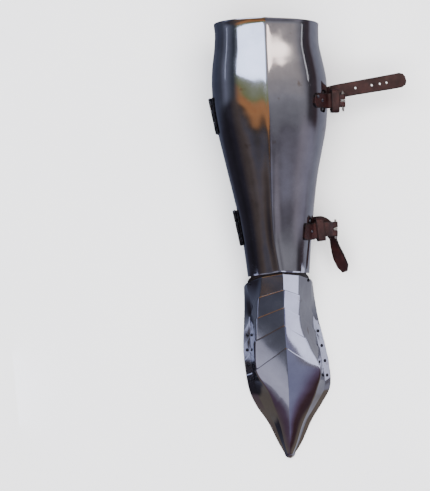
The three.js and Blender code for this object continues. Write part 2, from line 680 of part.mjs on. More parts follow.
// Long strap on the calf plate, with its free end as it lies
function longStrap({ name, laidRows, freeRows, holes, rivets }) {
  const onPlate = laidRows.map((row) => laid(calfPoint, calfNormal, row));
  const inAir = freeRows.map((r) => free(r.x, r.y, r.z, r.width, r.roll));
  const frames = strapFrames([...onPlate, ...inAir]);
  const node = `${name}_long_strap`;
  keep(node, strap(frames), strapLeather);
  for (const x of holes) {
    const f = nearest(frames, x);
    const p = f.p.clone().addScaledVector(f.along, (x - f.p.x) / f.along.x);
    const reach = f.normal.clone().multiplyScalar(3 * LEATHER);
    cut([node], toSolid(rod(p.clone().sub(reach), p.clone().add(reach), HOLE_RADIUS)));
  }
  rivets.forEach((r, k) => {
    const [point, face] = [calfPoint(r.u, r.y), calfNormal(r.u, r.y)];
    const top = ON_PLATE + LEATHER / 2 + r.rise;
    rivet(`${name}_strap_rivet_${k + 1}`, point, face, top, PLATE, ["back_plate", node]);
  });
}

longStrap({
  name: "upper",
  laidRows: [
    { u: 0.58, y: 6.5, width: 18 },
    { u: 0.61, y: 6.8, width: 20 },
    { u: 0.74, y: 7.6, width: 20 },
    { u: 0.85, y: 8.3, width: 20 },
  ],
  freeRows: [
    { x: 85.5, y: 9.4, z: 66.5, width: 20, roll: 0 },
    { x: 94, y: 11, z: 68.5, width: 20, roll: 0 },
    { x: 120, y: 14.6, z: 66, width: 20, roll: 0 },
    { x: 150, y: 18.4, z: 62, width: 20.6, roll: 0 },
    { x: 178, y: 22, z: 57, width: 21.4, roll: 0 },
    { x: 190, y: 23.8, z: 54.5, width: 21.5, roll: 0 },
    { x: 195.5, y: 24.8, z: 53.4, width: 17.5, roll: 0 },
    { x: 198.6, y: 25.4, z: 52.8, width: 8, roll: 0 },
  ],
  holes: [124, 148, 160, 170],
  rivets: [
    { u: 0.65, y: 7, rise: 0 },
    { u: 0.74, y: 7.6, rise: 0.2 },
  ],
});

longStrap({
  name: "lower",
  laidRows: [
    { u: 0.56, y: -179, width: 18 },
    { u: 0.6, y: -178.6, width: 20 },
    { u: 0.68, y: -177.8, width: 20, rise: 0.4 },
    { u: 0.76, y: -177, width: 20, rise: 2 },
  ],
  freeRows: [
    { x: 57.5, y: -175.6, z: 44.5, width: 20, roll: 0 },
    { x: 64.5, y: -175.6, z: 46, width: 20, roll: 0 },
    { x: 72, y: -180.5, z: 43.5, width: 20, roll: 12 },
    { x: 78.4, y: -189.5, z: 40.5, width: 19, roll: 36 },
    { x: 81.3, y: -200, z: 38.5, width: 18, roll: 66 },
    { x: 83.6, y: -211, z: 37, width: 18.5, roll: 56 },
    { x: 88, y: -226, z: 36, width: 20, roll: 42 },
    { x: 93, y: -239, z: 35.5, width: 19.5, roll: 42 },
    { x: 95.5, y: -246.5, z: 35, width: 11, roll: 42 },
    { x: 96.2, y: -248.5, z: 35, width: 8, roll: 42 },
  ],
  holes: [],
  rivets: [{ u: 0.635, y: -178.2, rise: 0.4 }],
});

// Leather band inside the ankle, which joins the foot plates to the shin plate

const BAND_ENDS = { leg: 0.93, foot: 0.8 }; // how far round it reaches, as u on either surface
const BAND_STEPS = 8;
const LEG_INSIDE = { surface: shinPoint, normal: shinNormal, end: BAND_ENDS.leg, wall: PLATE };
const FOOT_INSIDE = { surface: footPoint, normal: footNormal, end: BAND_ENDS.foot, wall: LAME };
const BAND_ROWS = [
  { ...LEG_INSIDE, y: -222, clear: 0.9 },
  { ...LEG_INSIDE, y: -232, clear: 1.6 },
  { ...LEG_INSIDE, y: -245, clear: 3.8 },
  { ...FOOT_INSIDE, y: -254, clear: 2 },
  { ...FOOT_INSIDE, y: -263, clear: 1.2 },
];
const EAR = { u: 0.7, y: -257, clear: 2 }; // place of the ear rivets and the band's gap there

function ankleBand() {
  const shares = Array.from({ length: 2 * BAND_STEPS + 1 }, (_, i) => i / BAND_STEPS - 1);
  const layer = (low) => shares.map((share) =>
    BAND_ROWS.map(({ surface, normal, end, wall, y, clear }) => {
      const u = share * end;
      return surface(u, y).addScaledVector(normal(u, y), -wall - clear - low);
    }));
  keep("ankle_band", toSolid(closeGrids(layer(0), layer(LEATHER))), strapLeather);
  for (const [hand, side] of [["outer", -1], ["inner", 1]]) {
    const u = side * EAR.u;
    const depth = LAME + EAR.clear + LEATHER;
    const names = ["ankle_plate", "ankle_band"];
    rivet(`ankle_${hand}_rivet`, footPoint(u, EAR.y), footNormal(u, EAR.y), HEAD_CLEAR, depth, names);
  }
}

ankleBand();

const group = new THREE.Group();
for (const [name, { solid, material }] of pieces) {
  const mesh = new THREE.Mesh(toGeometry(solid), material);
  mesh.name = name;
  group.add(mesh);
}

export default group;
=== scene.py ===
"""Looks of a closed plate greave with its pointed foot defence, lying on its calf.

Blender is in metres. The plates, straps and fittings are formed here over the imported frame.
"""

import json
import math

import bpy
from mathutils import Matrix, Vector, noise


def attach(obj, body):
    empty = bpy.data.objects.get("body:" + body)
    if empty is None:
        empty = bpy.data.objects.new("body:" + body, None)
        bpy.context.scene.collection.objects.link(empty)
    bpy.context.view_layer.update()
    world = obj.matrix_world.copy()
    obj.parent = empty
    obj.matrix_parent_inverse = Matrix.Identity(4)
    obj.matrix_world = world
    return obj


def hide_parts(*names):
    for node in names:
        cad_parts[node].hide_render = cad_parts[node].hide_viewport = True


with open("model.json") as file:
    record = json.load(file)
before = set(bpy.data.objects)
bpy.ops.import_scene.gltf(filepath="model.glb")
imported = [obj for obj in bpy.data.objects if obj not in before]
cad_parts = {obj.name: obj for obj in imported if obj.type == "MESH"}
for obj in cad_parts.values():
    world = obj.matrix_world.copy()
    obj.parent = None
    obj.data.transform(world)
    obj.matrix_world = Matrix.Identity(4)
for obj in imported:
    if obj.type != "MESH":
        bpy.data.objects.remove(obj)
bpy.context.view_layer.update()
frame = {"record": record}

bl_info = {
    "name": "Plate greave",
    "version": (1, 0, 0),
    "blender": (4, 5, 0),
    "location": "View3D > Sidebar > Greave",
    "description": "Forms the steel plates, leather straps and fittings of a greave round its frame",
    "category": "Object",
}

MM = 0.001
UP = Vector((0, 0, 1))
NEAR_U, NEAR_Y, NEAR_T = 0.01, 0.5, 1e-4  # small steps along surfaces and curves, for their directions
BODY_OF = {node: body for body, nodes in frame["record"]["behaviour"]["bodies"].items() for node in nodes}


def table(names, *rows):
    """Dictionaries with the named columns, one for each row of numbers."""
    return [dict(zip(names.split(), row)) for row in rows]


# Sections of the leg in millimetres: half widths to the hinge side and the buckle side, place and
# height of the shin ridge over the split, lowest point of the calf, and pinch of the ridge
LEG = table(
    "y left right ridge_x ridge bottom keel",
    (110, 74.2, 74.4, -3.5, 66, 31, 1.0),
    (100, 73.6, 73.6, -4, 66, 27, 1.2),
    (77, 76.0, 73.4, -4.6, 68, 15, 1.4),
    (54, 80.0, 77.3, -5, 71, 6, 1.6),
    (31, 82.1, 81.0, -5.5, 73.5, 1.4, 1.8),
    (8, 82.2, 81.6, -5.5, 74, 0, 2.0),
    (-8, 81.4, 81.2, -5.5, 73.5, 0, 2.2),
    (-37, 77.6, 78.0, -5.6, 71, 3, 2.4),
    (-60, 73.5, 73.2, -5.8, 68, 6.5, 2.8),
    (-106, 64.9, 62.2, -7.2, 61.5, 11, 3.4),
    (-152, 56.4, 54.5, -8.3, 55, 12, 3.8),
    (-197, 50.6, 48.4, -7.5, 50.5, 9, 3.6),
    (-247, 46.4, 43.0, -1.4, 48.5, 5, 2.6),
)
KNEE_END, ANKLE_END = 110, -247
KNEE_BEND, ANKLE_BEND = 30, -150  # rows of the plates past these follow the rims
FLAT_FRONT, PINCH_WIDTH = 0.3, 0.1  # how flat the front is beside the ridge, and the ridge's width in u
SPLIT_Z, SPLIT_SLOPE = 79, 0.1176  # height of the split between the leg plates, and its rise
RIM_TILT, ANKLE_ARCH, CALF_DIP = 4, 5.5, 16  # how the two rims run round the leg
SLIT_START, SLIT = -205, 1.9  # the split opens to a slit towards the ankle
GAP = 0.35
LEAF_CLEAR = GAP + 0.25  # gap under a hinge leaf
ON_PLATE = GAP + 0.3  # gap under a strap that lies on a plate
LIP, LIP_WIDTH = 1.0, 7  # outward flare of the knee rim, and the width over which it rises
LIP_FADE, LIP_CURVE = 0.85, 1.6  # how far the flare fades towards the split, and how late it rises
RIM_SHARE = 0.03  # share of the length, from the knee rim, where the rows lie closer
RIM_ROWS, LEG_ROWS = 5, 120
LONG_DENTS, SHORT_DENTS, SHORT_DEPTH = 31, 13, 0.3  # sizes of the hammer's ripples, depth of the small
DENTS_FADE = 6  # how close to the split the ripples fade

# Sections of the foot: the ridge, the creases, the foot of the side walls and the sole edge
FOOT = table(
    "y ridge_x ridge_z crease_l crease_r crease_z wall_l wall_r wall_z edge_l edge_r",
    (-236, 1.5, 102, 27, 25, 88, 50, 45.5, 50, 52, 49),
    (-250, 2.4, 98, 28, 25, 84, 50.5, 45.5, 45, 52, 49.5),
    (-286, 1.6, 90, 34, 23.5, 75, 44, 46, 20, 53, 51.8),
    (-320, 1.0, 82, 38, 23.5, 66, 44, 45, 12, 55.7, 56),
    (-354, 2.0, 74, 42, 36, 54, 46.5, 51, 11, 58.5, 62.5),
    (-386, 2.6, 65, 41, 50.5, 43, 45.5, 55, 11, 57.2, 67.2),
    (-418, 2.4, 55, 25, 43, 36, 41, 56, 12, 52.7, 66.4),
    (-441, 2.0, 47, 18, 34, 30, 33, 44, 11, 43.4, 53.5),
    (-466, 1.7, 37, 12, 22, 24, 20, 28, 9, 28.1, 36.4),
    (-497, 1.2, 23, 6.5, 11.5, 15.5, 10, 15, 6, 14.5, 20.5),
    (-513, 0.9, 12.5, 3, 5, 9, 4.6, 7, 4, 6.6, 9.4),
)
TOE_TIP = Vector((0.8, -520, 3.5))
FOOT_KNOTS = (0, 0.42, 0.78, 1)
COLUMNS, RIDGE_LINE = 56, 0.004  # columns of a plate on each side, and the place of one more at the ridge
CREASE_SOFT, EDGE_SOFT = 0.018, 0.05
FOOT_PLATES = table(
    "name ridge crease sole pivot",
    ("ankle_plate", -244.5, -248, -262, None),
    ("instep_lame_1", -267, -276, -327, -334),
    ("instep_lame_2", -292.5, -306, -349, -356),
    ("instep_lame_3", -318, -339, -371, -378.5),
    ("toe_cap", -351, -382.5, -393, -400),
)
RIDGE_LAP, SOLE_LAP, PIVOT_U = 11, 12, 0.9
SHINGLE = 1.3  # how far a plate's rear edge stands over the plate below, beyond its own thickness
CAP_SETTLE = 60  # length over which the toe cap settles from its raised rear edge
CROWN, OUTER_CROWN = 1.3, 0.4  # how far the top facets swell between ridge and crease
CROWN_START, CROWN_LENGTH, CROWN_END = -300, 80, 40
STEEPEST = 0.35  # least upright share of the normal by which a plate is raised near the sole
TIP_SMOOTH, TIP_WALL, THINNEST = 60, 24, 0.12  # the toe's tip has no ripples and a thinner wall

# Hinge axis on the outer side of the leg
AXIS_X, AXIS_SLOPE = -84.2, -0.158
HINGES = table("name top bottom", ("upper", 11, -40), ("lower", -150, -201))
LEAF_HEIGHT, LEAF_EDGE, LEAF_RIVET, RIVET_SHARES = 0.13, -0.99, 0.64, (0.2, 0.8)
KNUCKLE_GAP, PIN_END = 0.4, 0.6

# Widths of the rounded edges
EDGES = {
    "leg_plate": 0.45,
    "foot_plate": 0.35,
    "rivet": 0.18,
    "leaf": 0.3,
    "strap": 0.55,
    "keeper": 0.5,
    "tongue": 0.25,
    "band": 0.5,
}


def lerp(a, b, share):
    return a + (b - a) * share


def clamp(value, low=0.0, high=1.0):
    return max(low, min(high, value))


def smooth(share):
    return share * share * (3 - 2 * share)


def hermite(t):
    """Weights at t of a start value, the slope there, an end value and the slope there."""
    t2, t3 = t * t, t * t * t
    return 2 * t3 - 3 * t2 + 1, t3 - 2 * t2 + t, 3 * t2 - 2 * t3, t3 - t2


def row_at(rows, y):
    """Row of a table at y, with smooth values between the rows, which run from high y to low y."""
    last = len(rows) - 1
    i = 0
    while i < last - 1 and y < rows[i + 1]["y"]:
        i += 1
    a, b = rows[i], rows[i + 1]
    before, after = rows[max(i - 1, 0)], rows[min(i + 2, last)]
    span = b["y"] - a["y"]
    w0, w1, w2, w3 = hermite(clamp((y - a["y"]) / span))
    reach_before, reach_after = b["y"] - before["y"], after["y"] - a["y"]
    row = {}
    for key in a:
        start = (b[key] - before[key]) / reach_before
        end = (after[key] - a[key]) / reach_after
        row[key] = w0 * a[key] + w1 * span * start + w2 * b[key] + w3 * span * end
    return row


def split_z(y):
    return SPLIT_Z + SPLIT_SLOPE * y


def shin_point(u, y):
    """Front of the leg at u from -1 (hinge side) to 1 (buckle side), with the ridge at 0."""
    row = row_at(LEG, y)
    a = abs(u)
    angle = a * math.pi / 2
    side = -row["left"] if u < 0 else row["right"]
    flatness = FLAT_FRONT * (1 - a) ** 2
    across = (1 - flatness) * math.sin(angle) + flatness * a
    height = (1 - flatness) * math.cos(angle) + flatness * (1 - a)
    pinch = row["keel"] * (math.exp(-((a / PINCH_WIDTH) ** 2)) - a * (1 - a))
    x = row["ridge_x"] + (side - row["ridge_x"]) * across
    return Vector((x, y, split_z(y) + row["ridge"] * height + pinch))


def calf_point(u, y):
    """Back of the leg at u from -1 (hinge side) to 1 (buckle side), with the lowest line at 0."""
    row = row_at(LEG, y)
    angle = u * math.pi / 2
    side = row["left"] if u < 0 else row["right"]
    depth = split_z(y) - row["bottom"]
    return Vector((side * math.sin(angle), y, split_z(y) - depth * math.cos(angle)))


def soft_line(knots, values, soft, u):
    """Value at u of a line through knots, rounded at each inner knot over the half width soft."""
    slopes = [(values[k + 1] - values[k]) / (knots[k + 1] - knots[k]) for k in range(len(knots) - 1)]
    i = 0
    while i < len(knots) - 2 and u > knots[i + 1]:
        i += 1
    value = values[i] + slopes[i] * (u - knots[i])
    for k in range(1, len(knots) - 1):
        off = abs(u - knots[k])
        if off < soft:
            value += (slopes[k] - slopes[k - 1]) * (soft - off) ** 2 / (4 * soft)
    return value


def foot_point(u, y):
    """Foot at u from -1 (hinge side sole edge) to 1 (buckle side sole edge), with the ridge at 0."""
    row = row_at(FOOT, y)
    a = abs(u)
    sign, side = (-1, "l") if u < 0 else (1, "r")
    xs = (row["ridge_x"] * sign, row[f"crease_{side}"], row[f"wall_{side}"], row[f"edge_{side}"])
    zs = (row["ridge_z"], row["crease_z"], row["wall_z"], 0)
    x = soft_line(FOOT_KNOTS, xs, CREASE_SOFT, a) * sign
    return Vector((x, y, soft_line(FOOT_KNOTS, zs, CREASE_SOFT, a)))


def normal_of(surface, u, y):
    """Normal of a surface by small steps; on a sharp ridge it is the mean of both sides."""
    middle = surface(u, y)
    along = surface(u, y + NEAR_Y) - surface(u, y - NEAR_Y)
    normal = Vector()
    for side in (-1, 1):
        around = (surface(u + side * NEAR_U, y) - middle) * side
        normal += around.cross(along).normalized()
    return normal.normalized()


def shin_normal(u, y):
    return normal_of(shin_point, u, y)


def calf_normal(u, y):
    return -normal_of(calf_point, u, y)


def foot_normal(u, y):
    return normal_of(foot_point, u, y)


# Materials


def rgb(code):
    """Linear colour of an sRGB hex code such as #4a241c."""
    values = [int(code[i:i + 2], 16) / 255 for i in (1, 3, 5)]
    linear = [v / 12.92 if v <= 0.04045 else ((v + 0.055) / 1.055) ** 2.4 for v in values]
    return (*linear, 1.0)


def add(tree, kind, settings=None, **links):
    """Adds a node, sets its properties and inputs, and links its inputs to other nodes' outputs."""
    node = tree.nodes.new(kind)
    for key, value in (settings or {}).items():
        if isinstance(key, str) and hasattr(node, key):
            setattr(node, key, value)
        else:
            node.inputs[key].default_value = value
    for key, source in links.items():
        tree.links.new(source, node.inputs[int(key[2:]) if key[2:].isdigit() else key])
    return node


def ramp(tree, source, *stops):
    """Colour ramp through (position, hex colour or grey) stops."""
    node = add(tree, "ShaderNodeValToRGB", Fac=source)
    elements = node.color_ramp.elements
    while len(elements) < len(stops):
        elements.new(0.5)
    for element, (position, colour) in zip(elements, stops):
        element.position = position
        element.color = rgb(colour) if isinstance(colour, str) else (colour, colour, colour, 1)
    return node.outputs["Color"]


def grains(tree, place, size, detail, **more):
    """Noise whose grains are size mm across."""
    settings = {"Scale": 1 / (size * MM), "Detail": detail, **more}
    return add(tree, "ShaderNodeTexNoise", settings, Vector=place).outputs["Fac"]


def remap(tree, source, low, high, start, end):
    """Value that runs from start to end while the source runs from low to high."""
    settings = {"From Min": low, "From Max": high, "To Min": start, "To Max": end}
    return add(tree, "ShaderNodeMapRange", settings, Value=source).outputs[0]


def bumps(tree, height, strength, depth, **below):
    """Normal of a relief that is depth mm high, on top of the relief below."""
    settings = {"Strength": strength, "Distance": depth * MM}
    return add(tree, "ShaderNodeBump", settings, Height=height, **below).outputs["Normal"]


def covered(tree, share, base, code):
    """The base colour, with a hex colour over it by a share."""
    settings = {"data_type": "RGBA", 7: rgb(code)}
    return add(tree, "ShaderNodeMix", settings, in0=share, in6=base).outputs[2]


def new_material(name, **constants):
    """A material, its node tree, its Principled shader with constants set, and its coordinates."""
    material = bpy.data.materials.new(name)
    material.use_nodes = True
    tree = material.node_tree
    shader = tree.nodes["Principled BSDF"]
    for key, value in constants.items():
        shader.inputs[key].default_value = value
    return material, tree, shader, add(tree, "ShaderNodeTexCoord").outputs


def connect(tree, shader, colour, rough, normal):
    for key, source in (("Base Color", colour), ("Roughness", rough), ("Normal", normal)):
        tree.links.new(source, shader.inputs[key])


def polished_steel():
    """Mild steel sheet, raised over a stake, planished and buffed along its length.

    It mirrors clearly but softly: planishing leaves shallow ripples, buffing leaves fine lines
    along the leg, and handling leaves dull smears and a few brown spots.
    """
    look = bpy.context.scene.greave_steel
    material, tree, shader, coords = new_material("polished_mild_steel", Metallic=1.0)
    place = coords["Object"]
    smear = grains(tree, place, 38, 4.0, Roughness=0.6)
    spots = grains(tree, place, 17, 2.0)
    stain = ramp(tree, spots, (0.0, 0.0), (0.7, 0.0), (0.8, 0.55))
    steel = ramp(tree, smear, (0.3, look.steel_shade), (0.7, look.steel_tint))
    colour = covered(tree, stain, steel, look.stain_tint)
    rough = remap(tree, smear, 0.3, 0.75, look.roughness_clean, look.roughness_smeared)
    dull = add(tree, "ShaderNodeMath", {"operation": "MULTIPLY_ADD", 1: 0.12}, in0=stain, in2=rough)
    soft = bumps(tree, grains(tree, place, 21, 1.0), look.ripple, 0.25)
    stretched = add(tree, "ShaderNodeMapping", {"Scale": (1.0, 0.02, 1.0)}, Vector=place)
    lines = grains(tree, stretched.outputs["Vector"], 0.9, 3.0)
    connect(tree, shader, colour, dull.outputs[0], bumps(tree, lines, 0.18, 0.02, Normal=soft))
    return material


def dark_steel(name, shade, tint, roughness):
    """Mild steel with what is left of its oil-blacked skin. The near-black kind is also painted shade on
    the foot rivets.

    It is dark where the skin still lies and brighter where it is rubbed off, and fine pits scatter
    the light a little.
    """
    material, tree, shader, coords = new_material(name, Metallic=1.0)
    mottle = grains(tree, coords["Object"], 3, 4.0)
    colour = ramp(tree, mottle, (0.35, shade), (0.7, tint))
    rough = remap(tree, mottle, 0.3, 0.7, roughness, roughness + 0.18)
    pits = grains(tree, coords["Object"], 0.8, 2.0)
    connect(tree, shader, colour, rough, bumps(tree, pits, 0.3, 0.06))
    return material


def strap_leather(name, dark, middle, worn):
    """Vegetable-tanned cowhide, dyed, waxed and with black burnished edges.

    The dye lies unevenly, the grain shows as fine pebbles and creases, and the wax gives a low
    sheen with brighter worn places.
    """
    look = bpy.context.scene.greave_leather
    material, tree, shader, coords = new_material(name, IOR=1.5)
    place = coords["Object"]
    dye = grains(tree, place, 14, 5.0, Roughness=0.65)
    brown = ramp(tree, dye, (0.3, dark), (0.55, middle), (0.8, worn))
    across = add(tree, "ShaderNodeSeparateXYZ", Vector=coords["UV"]).outputs["X"]
    centred = add(tree, "ShaderNodeMath", {"operation": "SUBTRACT", 1: 0.5}, in0=across).outputs[0]
    off = add(tree, "ShaderNodeMath", {"operation": "ABSOLUTE"}, in0=centred).outputs[0]
    burnish = ramp(tree, off, (0.0, 0.0), (0.41, 0.0), (0.47, 1.0))
    pebble_settings = {"feature": "SMOOTH_F1", "Scale": 1 / look.grain}
    pebbles = add(tree, "ShaderNodeTexVoronoi", pebble_settings, Vector=place).outputs["Distance"]
    creases = grains(tree, place, 4, 6.0, Roughness=0.7)
    folds = bumps(tree, creases, 0.5, 0.35, Normal=bumps(tree, pebbles, 0.35, 0.12))
    rough = remap(tree, dye, 0.3, 0.8, 0.58, 0.36)
    connect(tree, shader, covered(tree, burnish, brown, look.edge), rough, folds)
    return material


def floor_paint():
    """Matt off-white studio floor with a hardly visible mottle."""
    material, tree, shader, coords = new_material("matt_floor_paint", Roughness=0.9)
    mottle = grains(tree, coords["Object"], 180, 3.0)
    tint = bpy.context.scene.greave_studio.floor_tint
    tree.links.new(ramp(tree, mottle, (0.2, tint), (0.8, "#ffffff")), shader.inputs["Base Color"])
    return material


def material_named(name):
    """The material of that name, made on first use."""
    hide = bpy.context.scene.greave_leather
    makers = {
        "polished_mild_steel": polished_steel,
        # Near-black steel: blacking on the hinge leaves, painted shade on the rivets of the foot plates
        "blacking_and_shade_steel": lambda: dark_steel(name, "#2a2a2f", "#5a5a63", 0.24),
        "rivet_steel": lambda: dark_steel(name, "#6c6d75", "#aeb0ba", 0.24),
        "buckle_steel": lambda: dark_steel(name, "#3c3a37", "#6f6b64", 0.3),
        "waxed_cowhide": lambda: strap_leather(name, hide.dye_dark, hide.dye, hide.dye_worn),
        # Near-black hide of the ankle band: painted shade in the gap between the shin plate and the ankle
        # plate
        "painted_shade_cowhide": lambda: strap_leather(name, "#0c0909", "#171010", "#241917"),
        "matt_floor_paint": floor_paint,
    }
    return bpy.data.materials.get(name) or makers[name]()


# Modelling helpers


def select_none():
    """Leaves nothing selected."""
    for other in bpy.context.selected_objects:
        other.select_set(False)


def select_only(obj):
    select_none()
    obj.select_set(True)
    bpy.context.view_layer.objects.active = obj


def added(name):
    """The primitive that an operator has just added, under its own name."""
    obj = bpy.context.active_object
    obj.name = obj.data.name = name
    return obj


def sheet(name, us, vs, point):
    """Grid primitive whose columns follow us and rows follow vs, formed by point(u, v) in mm."""
    select_none()
    columns, rows = len(us) - 1, len(vs) - 1
    bpy.ops.mesh.primitive_grid_add(x_subdivisions=columns, y_subdivisions=rows, size=2)
    obj = added(name)
    for vertex in obj.data.vertices:
        i = round((vertex.co.x + 1) / 2 * columns)
        j = round((vertex.co.y + 1) / 2 * rows)
        vertex.co = point(us[i], vs[j]) * MM
    return obj


def cylinder(name, sides, radius, length, matrix):
    """Cylinder primitive of a radius and length in mm, along z round the origin, placed by a matrix."""
    select_none()
    bpy.ops.mesh.primitive_cylinder_add(vertices=sides, radius=radius * MM, depth=length * MM)
    obj = added(name)
    place_mesh(obj, matrix)
    return obj


def edit_all(obj, operator, **settings):
    """Runs an edit mode operator on the whole mesh."""
    select_only(obj)
    bpy.ops.object.mode_set(mode="EDIT")
    bpy.ops.mesh.select_all(action="SELECT")
    operator(**settings)
    bpy.ops.object.mode_set(mode="OBJECT")


def cut_level(obj):
    """Cuts off what is under the level of z = 0 and closes the cut."""
    edit_all(
        obj, bpy.ops.mesh.bisect, plane_co=(0, 0, 0), plane_no=(0, 0, 1), clear_inner=True, use_fill=True
    )


def modify(obj, kind, **settings):
    """Adds a modifier with its settings and applies it."""
    select_only(obj)
    modifier = obj.modifiers.new(kind.title(), kind)
    for key, value in settings.items():
        setattr(modifier, key, value)
    bpy.ops.object.modifier_apply(modifier=modifier.name)


def thicken(obj, thickness, offset=-1.0, **more):
    modify(obj, "SOLIDIFY", thickness=thickness * MM, offset=offset, use_even_offset=True, **more)


def round_edges(obj, width, segments=2, angle=50):
    limit = math.radians(angle)
    modify(obj, "BEVEL", width=width * MM, segments=segments, limit_method="ANGLE", angle_limit=limit)


def cut_away(obj, cutter):
    """Cuts the closed mesh cutter out of obj and deletes it."""
    modify(obj, "BOOLEAN", operation="DIFFERENCE", object=cutter, solver="EXACT")
    bpy.data.objects.remove(cutter)


def joined(objs, name):
    select_none()
    for obj in objs:
        obj.select_set(True)
    bpy.context.view_layer.objects.active = objs[0]
    bpy.ops.object.join()
    return added(name)


def place_mesh(obj, matrix):
    """Moves a mesh that was made round the origin, so that the object itself stays there."""
    obj.data.transform(matrix)
    obj.data.update()


def twin(obj, name, matrix):
    """Copy of a finished piece, with its own mesh, placed by a matrix."""
    mesh = obj.data.copy()
    mesh.transform(matrix)
    copy = bpy.data.objects.new(name, mesh)
    mesh.name = name
    bpy.context.scene.collection.objects.link(copy)
    return copy


def basis(x, y, z, origin):
    """Matrix that takes the axes to x, y and z and the origin to a point in mm."""
    columns = Matrix((x, y, z)).transposed()
    return Matrix.Translation(origin * MM) @ columns.to_4x4()


def upright_basis(way, origin):
    """Matrix that takes the z axis to a way and the origin to a point in mm."""
    side = way.orthogonal().normalized()
    return basis(side, way.cross(side), way, origin)


def settle(obj, node, material, angle=40):
    """Gives a finished piece its material, smooth shading and body, and hides the frame node that it stands
    for.
    """
    obj.data.materials.append(material_named(material))
    select_only(obj)
    bpy.ops.object.shade_smooth_by_angle(angle=math.radians(angle))
    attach(obj, BODY_OF[node])
    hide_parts(node)


def spread(low, high, count):
    """Values from low to high with count equal steps."""
    return [lerp(low, high, k / count) for k in range(count + 1)]


def mirrored(lines):
    return [-u for u in reversed(lines[1:])] + list(lines)


def leg_wall():
    return bpy.context.scene.greave_steel.leg_thickness / MM


def foot_wall():
    return bpy.context.scene.greave_steel.foot_thickness / MM


def ripple_depth():
    return bpy.context.scene.greave_steel.hammering / MM


def hide_thickness():
    return bpy.context.scene.greave_leather.thickness / MM


# Steel plates


def hammered(point, normal, depth):
    """A point moved along its normal by the shallow ripples that planishing leaves."""
    height = noise.noise(point / LONG_DENTS) + noise.noise(point / SHORT_DENTS) * SHORT_DEPTH
    return point + normal * (height * depth)


def leg_y(share, top, bottom):
    """y at a share of the way from the knee rim to the ankle rim; rows near a rim follow it."""
    y = lerp(KNEE_END, ANKLE_END, share)
    near_top = clamp((y - KNEE_BEND) / (KNEE_END - KNEE_BEND)) ** 2
    near_bottom = clamp((y - ANKLE_BEND) / (ANKLE_END - ANKLE_BEND)) ** 2
    return y + near_top * top + near_bottom * bottom, y


def leg_plate(name, surface, face, rims, us):
    """One half of the leg, with a flared lip at the knee and a straight edge along the split."""
    depth = ripple_depth()

    def point(u, share):
        y, row = leg_y(share, *rims(u))
        slit = SLIT * clamp((y - SLIT_START) / (ANKLE_END - SLIT_START))
        reach = abs(surface(0, y).z - split_z(y))
        u *= 1 - math.asin((GAP / 2 + slit) / reach) / (math.pi / 2)
        normal = face(u, y)
        rise = clamp((row - KNEE_END + LIP_WIDTH) / LIP_WIDTH) ** LIP_CURVE
        lip = LIP * (1 - LIP_FADE * abs(u)) * rise
        return hammered(surface(u, y), normal, depth * (1 - abs(u) ** DENTS_FADE)) + normal * lip

    shares = spread(0, RIM_SHARE, RIM_ROWS)[:-1] + spread(RIM_SHARE, 1, LEG_ROWS)
    return sheet(name, us, shares[::-1], point)


def shin_rims(u):
    return -RIM_TILT * math.sin(u * math.pi / 2), ANKLE_ARCH * (1 - abs(u)) ** 1.5


def calf_rims(u):
    dip = CALF_DIP * math.cos(u * math.pi / 2) ** 2
    return -dip - RIM_TILT * math.sin(u * math.pi / 2), 0


class GREAVE_OT_leg_plates(bpy.types.Operator):
    """Forms the shin plate and the calf plate, with their rims and the split between them."""

    bl_idname = "greave.leg_plates"
    bl_label = "Leg plates"

    def execute(self, context):
        lines = mirrored(spread(0, 1, COLUMNS))
        halves = (
            ("front_plate", shin_point, shin_normal, shin_rims, lines),
            ("back_plate", calf_point, calf_normal, calf_rims, lines[::-1]),
        )
        for node, surface, face, rims, us in halves:
            plate = leg_plate(f"formed_{node}", surface, face, rims, us)
            thicken(plate, leg_wall())
            round_edges(plate, EDGES["leg_plate"])
            settle(plate, node, "polished_mild_steel")
        return {"FINISHED"}


def rear_edge(k, u):
    plate = FOOT_PLATES[k]
    knots = (0, FOOT_KNOTS[1], 1)
    return soft_line(knots, (plate["ridge"], plate["crease"], plate["sole"]), EDGE_SOFT, abs(u))


def front_edge(k, u):
    if k == len(FOOT_PLATES) - 1:
        return FOOT[-1]["y"]
    return rear_edge(k + 1, u) - lerp(RIDGE_LAP, SOLE_LAP, abs(u))


def foot_lines():
    """Columns of a foot plate, close together beside each crease."""
    lines = set(spread(0, 1, COLUMNS))
    for knot in FOOT_KNOTS[1:3]:
        lines |= {knot + CREASE_SOFT * step for step in (-1, -0.6, -0.2, 0.2, 0.6, 1)}
    return mirrored(sorted(lines | {RIDGE_LINE}))


def raised_point(k, u, y, lift):
    """Outer surface of foot plate k, raised over the plate below towards its rear edge.

    It is raised along the surface's normal, but straight up near the sole, where the rims are flush.
    Towards the toe it also swells a little between ridge and crease.
    """
    rear = rear_edge(k, u)
    end = rear - CAP_SETTLE if k == len(FOOT_PLATES) - 1 else front_edge(k, u)
    raised = 0 if k == 0 else lift * clamp((y - end) / (rear - end))
    normal = foot_normal(u, y)
    a = abs(u)
    share = clamp(a / FOOT_KNOTS[1])
    swell = CROWN if u > 0 else OUTER_CROWN
    lengthways = clamp((CROWN_START - y) / CROWN_LENGTH) * clamp((y - TOE_TIP.y) / CROWN_END)
    crown = swell * 4 * share * (1 - share) * lengthways
    upright = smooth(clamp((a - FOOT_KNOTS[2]) / (PIVOT_U - FOOT_KNOTS[2])))
    way = normal.lerp(UP / max(normal.z, STEEPEST), upright)
    return foot_point(u, y) + way * raised + normal * crown


